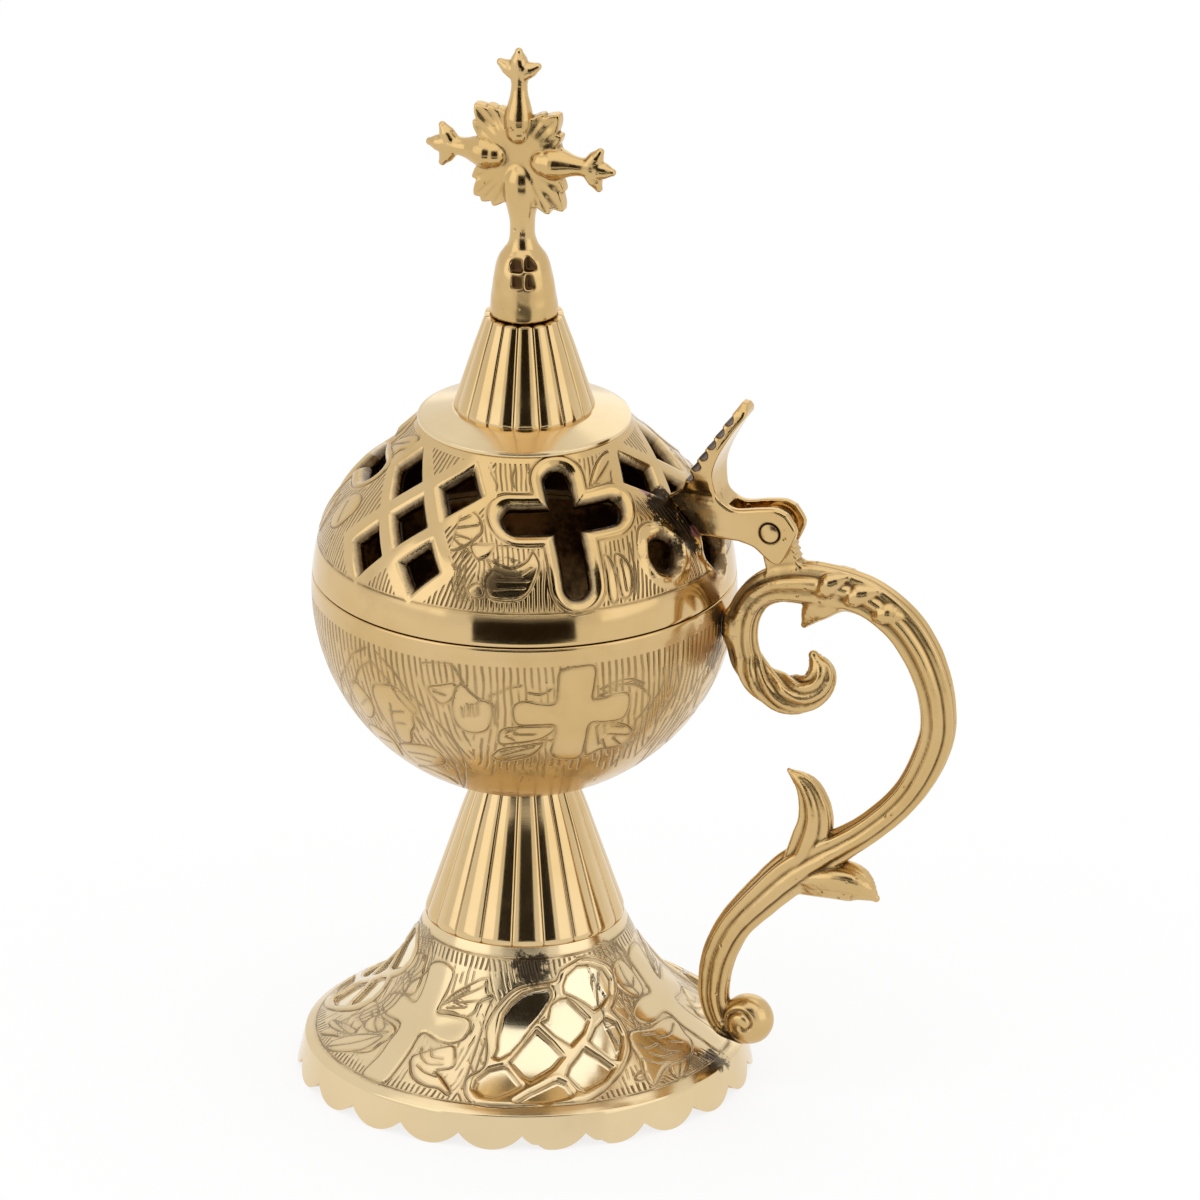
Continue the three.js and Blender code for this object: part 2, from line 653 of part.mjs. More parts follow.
// Loose pan for charcoal, standing on the curve of the bowl
function charcoalPan() {
  const inside = BOWL_RADIUS - BOWL_WALL - PAN_CLEARANCE;
  const bottom = bowlCentre - Math.sqrt(inside ** 2 - PAN_FLOOR_RADIUS ** 2);
  const rimBelowCentre = bowlCentre - bottom - PAN_HEIGHT;
  const rim = Math.sqrt(inside ** 2 - rimBelowCentre ** 2) - PAN_RIM_INSET;
  return turned([
    [0, 0],
    [PAN_FLOOR_RADIUS, 0],
    [rim, PAN_HEIGHT],
    [rim - PAN_WALL, PAN_HEIGHT],
    [PAN_FLOOR_RADIUS - PAN_WALL / 2, PAN_WALL],
    [0, PAN_WALL],
  ], ROUND_STEPS, bottom);
}

// Thumb lever: a fork on the pin, a root that follows the lid and a leaf for the thumb
function lidRadiusAt(z) {
  const points = lidCurve.getSpacedPoints(80);
  const above = points.findIndex((p) => p.y >= z);
  return points[Math.max(above, 0)].x;
}

function leverSide() {
  const rootAt = (dz) => [lidRadiusAt(hinge.z + dz) - ROOT_BITE - hinge.x, dz];
  const root = LEVER_ROOT_RISES.map(rootAt);
  const outline = [...LEVER_FORK, ...LEVER_BACK, ...LEVER_TIP, ...LEVER_FRONT, ...root];
  return outline.map(([dx, dz]) => new THREE.Vector2(hinge.x + dx, hinge.z + dz));
}

function leverFront() {
  const fork = FORK_WIDTH / 2;
  const leaf = LEAF_WIDTH / 2;
  const cheek = [[fork, FORK_BOTTOM], [fork, FORK_TOP]];
  const blade = LEAF_INSETS.map(([inset, dz]) => [leaf - inset, dz]);
  const half = [...cheek, ...blade].map(([y, dz]) => new THREE.Vector2(y, hinge.z + dz));
  const outline = [...half, ...half.map((p) => new THREE.Vector2(-p.x, p.y)).reverse()];
  const reach = 2 * hinge.x;
  const plate = plateXZ(outline, reach).rotateZ(Math.PI / 2);
  return plate.translate(reach / 2, 0, 0);
}

function gripGrooves() {
  const along = GRIP_END.clone().sub(GRIP_START).normalize();
  const inward = new THREE.Vector2(along.y, -along.x);
  return Array.from({ length: GRIP_COUNT }, (_, i) => {
    const middle = GRIP_START.clone().lerp(GRIP_END, (i + 0.5) / GRIP_COUNT);
    const offset = (a, b) => middle.clone().addScaledVector(along, a).addScaledVector(inward, b);
    const mouth = [offset(-GRIP_WIDTH, -GRIP_OVERRUN), offset(GRIP_WIDTH, -GRIP_OVERRUN)];
    const corners = [...mouth, offset(0, GRIP_DEPTH)];
    const outline = corners.map((p) => new THREE.Vector2(hinge.x + p.x, hinge.z + p.y));
    return plateXZ(outline, 2 * LEAF_WIDTH);
  });
}

function revolvedKeepOut(points) {
  const outline = points.map((p) => new THREE.Vector2(p.x, p.y));
  return new THREE.LatheGeometry(outline, 2 * ROUND_STEPS).rotateX(Math.PI / 2);
}

function thumbLever() {
  const sideWidth = LEAF_WIDTH + 1;
  const body = common(plateXZ(leverSide(), sideWidth), leverFront());
  const slotLength = SLOT_REACH + SLOT_PAST_PIN;
  const slot = new THREE.BoxGeometry(slotLength, SLOT_WIDTH, SLOT_HEIGHT);
  slot.translate(hinge.x - SLOT_REACH + slotLength / 2, 0, hinge.z);
  const pinHole = rodY(PIN_RADIUS + HINGE_CLEARANCE, 2 * FORK_WIDTH).translate(hinge.x, 0, hinge.z);
  const lidOuter = curveRings(lidCurve, 16, -BRAZE_GAP);
  const keepOut = revolvedKeepOut([
    new THREE.Vector2(0, lidRim - 1),
    new THREE.Vector2(lidOuter[0].x, lidRim - 1),
    ...lidOuter,
    new THREE.Vector2(0, lidTop + 1),
  ]);
  return cut(body, slot, pinHole, keepOut, ...gripGrooves());
}

function hingePin() {
  return rodY(PIN_RADIUS, FORK_WIDTH + 2 * PIN_OVERHANG).translate(hinge.x, 0, hinge.z);
}

// Handle: routes in the XZ plane as [x, z, half width], hand-chosen along each scroll
const MAIN_ROUTE = [
  [46, 12.8, 2.4], [42.2, 14.4, 2.9], [40.3, 19, 3.2], [40.3, 24, 3.4], [41.6, 29.8, 3.6],
  [45, 36.5, 3.7], [51, 43.4, 4.2], [57.2, 49.6, 4.6], [63, 54, 4.2], [67.6, 57, 3.5],
  [72.6, 60.7, 3.2], [78, 65.7, 3.2], [82.1, 70.8, 3.3], [85.3, 76.8, 3.6], [87.4, 83.1, 3.7],
  [87.6, 88.5, 3.8], [86.5, 94.4, 4], [83.8, 100.8, 4.3], [79.5, 106.4, 4.4], [73, 110.6, 4.4],
  [65.7, 112, 4.6], [58.8, 112, 4.6], [53.2, 110.8, 3.9], [49.3, 108.2, 3.5], [46.9, 104, 3.4],
  [46.3, 98.6, 3.3], [47.5, 93.4, 3.4], [50.6, 89.6, 3.7], [55.2, 88, 4.3], [59.4, 89, 4.6],
  [62.3, 92.2, 4.2], [62.6, 95.6, 3],
];
const UPPER_LEAF = [[57, 50, 3], [60.4, 56, 4.1], [61.8, 61, 3.8], [61.4, 65.2, 3.2], [59.8, 68.5, 2.4],
  [56, 71.4, 0.5]];
const LOWER_LEAF = [[56.5, 46.8, 2.4], [62, 48.4, 3.6], [67, 49.1, 4.2], [71, 48.4, 3.6],
  [74.8, 46, 0.8]];
const THORN = [[65, 110.5, 3.2], [61.2, 107, 2.6], [59, 103.2, 0.5]];
const SADDLE_POINT = new THREE.Vector2(46.3, 98.6);
const VOLUTE_POINT = new THREE.Vector2(47.5, 16);
const SADDLE_STANDOFF = 3.8;
const SADDLE_BELOW_RIM = 8.2;
const VOLUTE_ABOVE_SKIRT = 5.3;
const VOLUTE_PAST_LIP = 1.9;

// The scroll hangs between the bowl and the skirt, and is stretched to meet both
const saddle = new THREE.Vector2(rimRadius + SADDLE_STANDOFF, bowlRim - SADDLE_BELOW_RIM);
const volute = new THREE.Vector2(
  FOOT_RADIUS + VOLUTE_PAST_LIP,
  LIP_HEIGHT + VOLUTE_ABOVE_SKIRT + SKIRT_LOW_PULL.up / 2 + BRAZE_GAP * 2,
);

function fitted([x, z, half]) {
  const share = (z - VOLUTE_POINT.y) / (SADDLE_POINT.y - VOLUTE_POINT.y);
  const shift = (volute.x - VOLUTE_POINT.x) * (1 - share) + (saddle.x - SADDLE_POINT.x) * share;
  return { x: x + shift, z: volute.y + share * (saddle.y - volute.y), half };
}

function scroll(route, steps, sides = HANDLE_SIDES) {
  const stations = route.map(fitted);
  const path = new THREE.CatmullRomCurve3(stations.map((s) => new THREE.Vector3(s.x, 0, s.z)), false);
  const widths = stations.map((s) => new THREE.Vector3(s.half, 0, 0));
  const widthCurve = new THREE.CatmullRomCurve3(widths, false);
  const rings = Array.from({ length: steps + 1 }, (_, i) => {
    const share = i / steps;
    const centre = path.getPoint(share);
    const along = path.getTangent(share);
    const across = new THREE.Vector3(-along.z, 0, along.x);
    const half = widthCurve.getPoint(share).x;
    const deep = Math.min(half * HANDLE_DEPTH_SHARE, HANDLE_MAX_DEPTH);
    return Array.from({ length: sides }, (_, j) => {
      const turn = (2 * Math.PI * j) / sides;
      const reed = 1 - HANDLE_REED_SHARE * (0.5 + 0.5 * Math.cos(HANDLE_REEDS * turn));
      const point = centre.clone().addScaledVector(across, half * reed * Math.cos(turn));
      return point.setY(deep * reed * Math.sin(turn));
    });
  });
  const flat = arcPoints(0, 0, 1, 0, 360, sides).slice(0, -1);
  return cappedLoft(rings, flat);
}

function voluteBall() {
  const ball = new THREE.SphereGeometry(VOLUTE_RADIUS, 12, 8);
  return ball.scale(1, VOLUTE_DEPTH / VOLUTE_RADIUS, 1).translate(volute.x, 0, volute.y);
}

function knuckle() {
  const width = SLOT_WIDTH - 2 * CHEEK_CLEARANCE;
  const low = hinge.z - KNUCKLE_DROP;
  const outline = [
    ...arcPoints(hinge.x, hinge.z, KNUCKLE_RADIUS, 0, 180, 8),
    new THREE.Vector2(hinge.x - KNUCKLE_FOOT_INNER, low),
    new THREE.Vector2(hinge.x + KNUCKLE_FOOT_OUTER, low),
  ];
  return plateXZ(outline, width);
}

function saddlePad() {
  const pad = new THREE.BoxGeometry(2 * SADDLE_STANDOFF, SADDLE_WIDTH, 2 * SADDLE_HALF_HEIGHT);
  return pad.translate(saddle.x - SADDLE_STANDOFF / 2, 0, saddle.y + SADDLE_RISE);
}

function handle() {
  const body = join(
    scroll(MAIN_ROUTE, 2 * MAIN_ROUTE.length - 4),
    scroll(UPPER_LEAF, 8, 8),
    scroll(LOWER_LEAF, 8, 8),
    scroll(THORN, 4, 8),
    voluteBall(),
    knuckle(),
    saddlePad(),
  );
  const bowlKeepOut = new THREE.SphereGeometry(BOWL_RADIUS + BRAZE_GAP, 2 * ROUND_STEPS, ROUND_STEPS);
  bowlKeepOut.rotateX(Math.PI / 2).translate(0, 0, bowlCentre);
  const skirtOuter = curveRings(skirtCurve, 12, -BRAZE_GAP);
  const skirtKeepOut = revolvedKeepOut([
    new THREE.Vector2(0, -1),
    new THREE.Vector2(FOOT_RADIUS + BRAZE_GAP, -1),
    new THREE.Vector2(FOOT_RADIUS + BRAZE_GAP, SCALLOP_DEPTH),
    new THREE.Vector2(skirtStart.x + BRAZE_GAP, LIP_HEIGHT),
    ...skirtOuter,
    new THREE.Vector2(0, SKIRT_HEIGHT),
  ]);
  const pinHole = rodY(PIN_RADIUS + HINGE_CLEARANCE, 2 * FORK_WIDTH).translate(hinge.x, 0, hinge.z);
  return cut(body, bowlKeepOut, skirtKeepOut, pinHole);
}

// Assembly
function piece(name, geometry, finish) {
  const flat = geometry.index ? geometry.toNonIndexed() : geometry;
  flat.deleteAttribute('normal');
  flat.computeVertexNormals();
  const mesh = new THREE.Mesh(flat, new THREE.MeshStandardMaterial(finish));
  mesh.name = name;
  return mesh;
}

const standing = new THREE.Group();
standing.add(
  piece('foot', foot(), ENGRAVED),
  piece('stem', stem(), POLISHED),
  piece('bowl', bowl(), ENGRAVED),
  piece('tie_bolt', tieBolt(), SOOTED),
  piece('tie_washer', washer(tieWasherLow), POLISHED),
  piece('tie_nut', hexNut(tieNutLow), POLISHED),
  piece('handle', handle(), CAST),
  piece('charcoal_pan', charcoalPan(), SOOTED),
);

const lifting = new THREE.Group();
lifting.add(
  piece('lid', lid(), ENGRAVED),
  piece('spire', spire(), POLISHED),
  piece('spire_stud', spireStud(), SOOTED),
  piece('spire_washer', washer(spireWasherLow), SOOTED),
  piece('spire_nut', hexNut(spireNutLow), SOOTED),
  piece('cross_finial', finial(), CAST),
  piece('thumb_lever', thumbLever(), CAST),
  piece('hinge_pin', hingePin(), POLISHED),
);

// The origin is on the table, under the middle of the whole outline
const censer = new THREE.Group();
censer.add(standing, lifting);
const box = new THREE.Box3().setFromObject(censer);
censer.position.x = -(box.min.x + box.max.x) / 2;

export default censer;
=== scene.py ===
"""Standing hand censer in brass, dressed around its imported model.

Lengths in the tables and properties are millimetres, measured from the censer's own axis.
"""

import functools
import math

import bpy
import numpy as np
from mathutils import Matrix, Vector


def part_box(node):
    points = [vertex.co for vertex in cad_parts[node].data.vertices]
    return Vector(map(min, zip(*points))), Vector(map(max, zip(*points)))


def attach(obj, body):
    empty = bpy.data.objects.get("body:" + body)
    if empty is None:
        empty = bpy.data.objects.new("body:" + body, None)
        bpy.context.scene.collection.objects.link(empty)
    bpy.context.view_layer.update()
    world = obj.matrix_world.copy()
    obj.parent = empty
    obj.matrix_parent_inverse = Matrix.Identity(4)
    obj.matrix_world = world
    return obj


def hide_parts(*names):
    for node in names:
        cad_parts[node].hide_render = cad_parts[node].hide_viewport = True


bl_info = {
    "name": "Standing Censer",
    "version": (1, 0, 0),
    "blender": (4, 5, 0),
    "location": "3D View > Sidebar > Censer",
    "description": "Dresses a brass hand censer: turned, pierced, engraved and cast pieces",
    "category": "Add Mesh",
}

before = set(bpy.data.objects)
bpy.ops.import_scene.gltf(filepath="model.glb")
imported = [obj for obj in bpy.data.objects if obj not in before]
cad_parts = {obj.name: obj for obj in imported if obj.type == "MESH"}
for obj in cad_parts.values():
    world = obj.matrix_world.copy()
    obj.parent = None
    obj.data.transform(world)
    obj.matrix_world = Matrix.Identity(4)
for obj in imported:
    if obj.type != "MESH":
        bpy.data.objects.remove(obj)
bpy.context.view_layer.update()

MM = 0.001


def node_box(name):
    """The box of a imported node, in millimetres."""
    low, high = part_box(name)
    return np.array(low) / MM, np.array(high) / MM


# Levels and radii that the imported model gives
BOWL_LOW, BOWL_HIGH = node_box("bowl")
FOOT_LOW, FOOT_HIGH = node_box("foot")
STEM_LOW, STEM_HIGH = node_box("stem")
LID_LOW, LID_HIGH = node_box("lid")
SPIRE_LOW, SPIRE_HIGH = node_box("spire")
FINIAL_LOW = node_box("cross_finial")[0]
PIN_LOW, PIN_HIGH = node_box("hinge_pin")
PAN_LOW, PAN_HIGH = node_box("charcoal_pan")
AXIS_X = (BOWL_LOW[0] + BOWL_HIGH[0]) / 2
RIM_RADIUS = (LID_HIGH[0] - LID_LOW[0]) / 2
FOOT_RADIUS = (FOOT_HIGH[0] - FOOT_LOW[0]) / 2
HINGE = ((PIN_LOW[0] + PIN_HIGH[0]) / 2 - AXIS_X, (PIN_LOW[2] + PIN_HIGH[2]) / 2)
PIN_RADIUS = (PIN_HIGH[2] - PIN_LOW[2]) / 2

# Shared by several pieces
BORE_RADIUS = 3.0
BRAZE_GAP = 0.3
AXIS_POINT = 0.01
THIRD = 2 * math.pi / 3
# Farther than any line or opening reaches
FAR = 9.0

# Foot
SCALLOPS = 22
SCALLOP_DEPTH = 2.8
SCALLOP_PHASE = math.radians(3)
SCALLOP_COLUMNS = 36
LIP_NICKS = (-66.5, -50.2, 40, 151)
LIP_HEIGHT = 6.8
LIP_FLARE = 1.6
FOOT_WALL = 1.9
FOOT_WEB = 2.6
NECK_RADIUS = 19.9
SKIRT_PULLS = ((-12.1, 6.6), (6.4, -15.1))
SKIRT_BORDERS = (9.4, 2.3)
SKIRT_SAMPLES = 200
UNDERSIDE_STEP = 1.4

# Stem and spire
STEM_BASE_RADIUS = 20.3
STEM_TOP_RADIUS = 10.3
SPIRE_BASE_RADIUS = 14.4
SPIRE_TOP_RADIUS = 7.9
COLLAR_RADIUS = 21.4
COLLAR_EDGE = 0.9
COLLAR_RISE = 2.9
REED_WALL = 2.5
REED_FACING = math.radians(-68)
REED_COLUMNS = 28
REED_CUT = 0.2
REED_LEAN = 0.16
SPIRE_REED_SHARE = 0.9
COLLAR_COLUMNS = 256

# Bowl and lid
BOWL_RADIUS = 42.6
BOWL_SEAT_RADIUS = 11.2
BOWL_WALL = 2.4
BOWL_FLOOR = 2.6
BOWL_COLUMNS = 672
BOWL_LINING_COLUMNS = 180
BOWL_CENTRE = BOWL_LOW[2] + math.sqrt(BOWL_RADIUS**2 - BOWL_SEAT_RADIUS**2)
LID_TOP_RADIUS = 21.0
LID_WALL = 2.4
LID_SAMPLES = 300
LID_COLUMNS = 720
LID_LINING_COLUMNS = 270
LID_PULLS = ((-1.6, 16.0), (12.7, -13.7))
LID_BAND = 6.8
BEVEL_WIDTH = 1.7
BEVEL_DEPTH = 1.5
BEVEL_CURVE = 1.7
BORDER_RISE = 0.26
CROSS_BORDER = 1.3
CROSS_EASE = 0.35
LATTICE_BORDER = 1.5
CROSS_CENTRE_UP = 26.2
CROSS_ARM = 14.2
CROSS_TOP = 12.0
CROSS_FOOT = 18.4
CROSS_HALF = 4.0
LATTICE_UP = 22.4
LATTICE_STEP = (7.4, 8.6)
LATTICE_BAR = 1.9
LATTICE_CELLS = ((0, 0), (-1, 1), (1, 1), (-1, -1), (1, -1))
ROUND_HOLE_RADIUS = 5.15
ROUND_HOLES = ((-22.5, 14.3), (0.0, 9.8))
FIRST_CROSS = math.radians(-54)
HINGE_LATTICE_TURN = math.radians(-2)

# Ornament places round the foot and the bowl
SKIRT_CROSS = math.radians(-120)
SKIRT_LATTICE = math.radians(-58)
BOWL_CROSS = math.radians(-56)
BOWL_PANEL = math.radians(-116)


# Small numeric tools
def smooth(low, high, x):
    t = np.clip((x - low) / (high - low), 0.0, 1.0)
    return t * t * (3 - 2 * t)


def bezier(start, pulls, end, count):
    start, end = np.array(start, float), np.array(end, float)
    t = np.linspace(0, 1, count)[:, None]
    near, far = start + pulls[0], end + pulls[1]
    return (1 - t) ** 3 * start + 3 * (1 - t) ** 2 * t * near + 3 * (1 - t) * t**2 * far + t**3 * end


def lengths_along(path):
    return np.r_[0, np.cumsum(np.linalg.norm(np.diff(path[:, :2], axis=0), axis=1))]


def even(path, step):
    path = np.asarray(path, float)
    along = lengths_along(path)
    count = max(int(round(along[-1] / step)), 1) + 1
    at = np.linspace(0, along[-1], count)
    return np.stack([np.interp(at, along, path[:, k]) for k in range(path.shape[1])], 1)


def catmull_rom(a, b, c, d, t):
    """Places from b to c on the smooth curve through the four points."""
    return 0.5 * (2 * b + (c - a) * t + (2 * a - 5 * b + 4 * c - d) * t**2 + (3 * b - a - 3 * c + d) * t**3)


def spline(points, step):
    """A smooth curve through the points, all columns together, at even steps."""
    p = np.asarray(points, float)
    p = np.vstack([2 * p[0] - p[1], p, 2 * p[-1] - p[-2]])
    t = np.linspace(0, 1, 12, endpoint=False)[:, None]
    parts = []
    for a, b, c, d in zip(p[:-3], p[1:-2], p[2:-1], p[3:]):
        parts.append(catmull_rom(a, b, c, d, t))
    parts.append(p[-2:-1])
    return even(np.vstack(parts), step)


def arc(centre, radius, start, end, count):
    turn = np.radians(np.linspace(start, end, count))
    return np.stack([centre[0] + radius * np.cos(turn), centre[1] + radius * np.sin(turn)], 1)


def wrap(angle):
    return (angle + math.pi) % (2 * math.pi) - math.pi


def path_distance(points, path):
    """Distance to the path, and the side of it that each point is on."""
    a, d = path[:-1], np.diff(path, axis=0)
    near = np.full(len(points), np.inf)
    side = np.ones(len(points))
    for start, run in zip(a, d):
        off = points - start
        t = np.clip(off @ run / (run @ run + 1e-12), 0, 1)
        gap = off - t[:, None] * run
        dist = np.hypot(gap[:, 0], gap[:, 1])
        closer = dist < near
        near[closer] = dist[closer]
        side[closer] = np.sign(run[0] * off[closer, 1] - run[1] * off[closer, 0])
    return near, side


def inside(points, outline):
    """Which points lie within a closed outline, by how often a level line crosses it."""
    result = np.zeros(len(points), bool)
    for (x0, y0), (x1, y1) in zip(outline, np.roll(outline, -1, axis=0)):
        if y0 == y1:
            continue
        crosses = (points[:, 1] < y0) != (points[:, 1] < y1)
        result ^= crosses & (points[:, 0] < x0 + (points[:, 1] - y0) / (y1 - y0) * (x1 - x0))
    return result


def outline_distance(points, outline):
    """Signed distance to a closed outline, negative inside."""
    near, _ = path_distance(points, np.vstack([outline, outline[:1]]))
    return np.where(inside(points, outline), -near, near)


def closed(points, parts=4):
    """A smooth closed outline through the points."""
    p = np.asarray(points, float)
    a, b, c, d = (np.roll(p, k, axis=0)[:, None] for k in (1, 0, -1, -2))
    t = np.linspace(0, 1, parts, endpoint=False)[None, :, None]
    pull = (2 * a - 5 * b + 4 * c - d) * t**2 + (3 * b - a - 3 * c + d) * t**3
    return (0.5 * (2 * b + (c - a) * t + pull)).reshape(-1, 2)


def lattice(count):
    """Every whole place of a grid with so many places along each axis."""
    return np.stack(np.meshgrid(*[np.arange(n) for n in count], indexing="ij"), -1).reshape(-1, len(count))


def grid_round(points, margin, cell):
    """A grid of places round the points: its low corner, its counts and the places."""
    low = points.min(0) - margin
    count = np.ceil((points.max(0) + margin - low) / cell).astype(int) + 1
    return low, count, lattice(count) * cell + low


class Table:
    """The signed distance to a flat outline, looked up on a grid of samples."""

    def __init__(self, outline, cell=0.2, margin=4.0):
        outline = np.asarray(outline, float)
        self.cell = cell
        self.low, count, places = grid_round(outline, margin, cell)
        self.values = outline_distance(places, outline).reshape(count)

    def __call__(self, x, y):
        values = self.values
        at = (np.stack([x, y], 1) - self.low) / self.cell
        held = np.clip(at, 0, np.array(values.shape) - 1.001)
        i, j = held.astype(int).T
        s, t = (held - held.astype(int)).T
        near = values[i, j] * (1 - s) + values[i + 1, j] * s
        far = values[i, j + 1] * (1 - s) + values[i + 1, j + 1] * s
        return near * (1 - t) + far * t + np.linalg.norm(at - held, axis=1) * self.cell


# Meshes
def make_piece(name, points, faces, body, slot, material, node, values=None, across=None, crease=None):
    """A mesh from points in millimetres about the censer's axis, hung on its body."""
    mesh = bpy.data.meshes.new(name)
    placed = (np.asarray(points) + (AXIS_X, 0, 0)) * MM
    mesh.from_pydata(placed, [], [list(map(int, f)) for f in faces])
    for key, array in (values or {}).items():
        layer = mesh.attributes.new(key, "FLOAT", "POINT")
        layer.data.foreach_set("value", np.asarray(array, np.float32))
    if across is not None:
        corner = np.empty(len(mesh.loops), np.int32)
        mesh.loops.foreach_get("vertex_index", corner)
        face = np.repeat(np.arange(len(mesh.polygons)), [len(f) for f in faces])
        layer = mesh.uv_layers.new(name="engraving")
        layer.data.foreach_set("uv", across(corner, face).astype(np.float32).ravel())
    mesh.shade_smooth()
    if crease is not None:
        mesh.set_sharp_from_angle(angle=math.radians(crease))
    mesh.materials.append(material)
    piece = bpy.data.objects.new(name, mesh)
    bpy.context.scene.collection.objects.link(piece)
    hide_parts(node)
    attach(piece, body)


def grid_faces(rows, columns, closed_rows=False):
    i, j = np.meshgrid(np.arange(rows if closed_rows else rows - 1), np.arange(columns), indexing="ij")
    i, j = i.ravel(), j.ravel()
    up, on = (i + 1) % rows, (j + 1) % columns
    return np.stack([i * columns + j, i * columns + on, up * columns + on, up * columns + j], 1)


class Turned:
    """A profile of radius and height turned round the axis: one row for each of its points."""

    def __init__(self, profile, columns, start=0.0):
        self.profile = np.asarray(profile, float)
        self.columns = columns
        self.rows = len(self.profile)
        self.start = start
        self.up = lengths_along(self.profile)
        run = np.gradient(self.profile, axis=0)
        run /= np.linalg.norm(run, axis=1)[:, None] + 1e-12
        self.normal = np.stack([run[:, 1], -run[:, 0]], 1)
        turn = start + 2 * math.pi * np.arange(columns) / columns
        self.angle = np.tile(turn, self.rows)
        self.row = np.repeat(np.arange(self.rows, dtype=float), columns)

    def add(self, angle, row):
        self.angle = np.r_[self.angle, angle]
        self.row = np.r_[self.row, row]

    def of(self, table):
        low = np.minimum(self.row.astype(int), self.rows - 2)
        share = self.row - low
        if table.ndim == 2:
            share = share[:, None]
        return table[low] * (1 - share) + table[low + 1] * share

    def radius(self):
        return self.of(self.profile)[:, 0]

    def height(self):
        return self.of(self.profile)[:, 1]

    def length_up(self):
        return self.of(self.up)

    def points(self, lift=0.0):
        ring = self.of(self.profile) + self.of(self.normal) * np.reshape(lift, (-1, 1))
        return np.stack([ring[:, 0] * np.cos(self.angle), ring[:, 0] * np.sin(self.angle), ring[:, 1]], 1)

    def faces(self, closed_rows=False):
        return grid_faces(self.rows, self.columns, closed_rows)


def mirrored(chamfer, bottom, top):
    """A profile whose two ends have the same chamfer, given as radius and height from its end."""
    return [(r, bottom + z) for r, z in chamfer] + [(r, top - z) for r, z in chamfer[::-1]]


def turned_piece(name, profile, columns, body, slot, material, node, closed_rows=False, crease=None):
    """A plain turned piece."""
    shape = Turned(profile, columns)
    make_piece(name, shape.points(), shape.faces(closed_rows), body, slot, material, node, crease=crease)


def clip_grid(shape, field):
    """Faces where the field on a turned grid is positive, and the edges of the cut along its zero line."""
    rows, columns = shape.rows, shape.columns
    quads = shape.faces()
    signs = field[quads] >= 0
    whole = quads[signs.all(1)]
    faces = [list(q) for q in whole]
    cuts, extra, rim = {}, [], []

    def crossing(a, b):
        key = (min(a, b), max(a, b))
        if key not in cuts:
            t = field[a] / (field[a] - field[b])
            turn = shape.angle[a] + t * wrap(shape.angle[b] - shape.angle[a])
            extra.append((turn, shape.row[a] + t * (shape.row[b] - shape.row[a])))
            cuts[key] = rows * columns + len(extra) - 1
        return cuts[key]

    for quad in quads[signs.any(1) & ~signs.all(1)]:
        loop, edge = [], [None, None]
        for a, b in zip(quad, np.roll(quad, -1)):
            if field[a] >= 0:
                loop.append(a)
            if (field[a] >= 0) != (field[b] >= 0):
                loop.append(crossing(a, b))
                edge[0 if field[a] >= 0 else 1] = loop[-1]
        if len(loop) > 2:
            faces.append(loop)
            if None not in edge:
                rim.append(edge)
    extra = np.array(extra).reshape(-1, 2)
    shape.add(extra[:, 0], extra[:, 1])
    return faces, rim


def used_only(points, faces):
    """The points that the faces use, the faces renumbered to them, and their old numbers."""
    used = np.unique(np.concatenate([np.asarray(f, int) for f in faces]))
    at = np.full(len(points), -1)
    at[used] = np.arange(len(used))
    return points[used], [at[np.asarray(f, int)] for f in faces], used


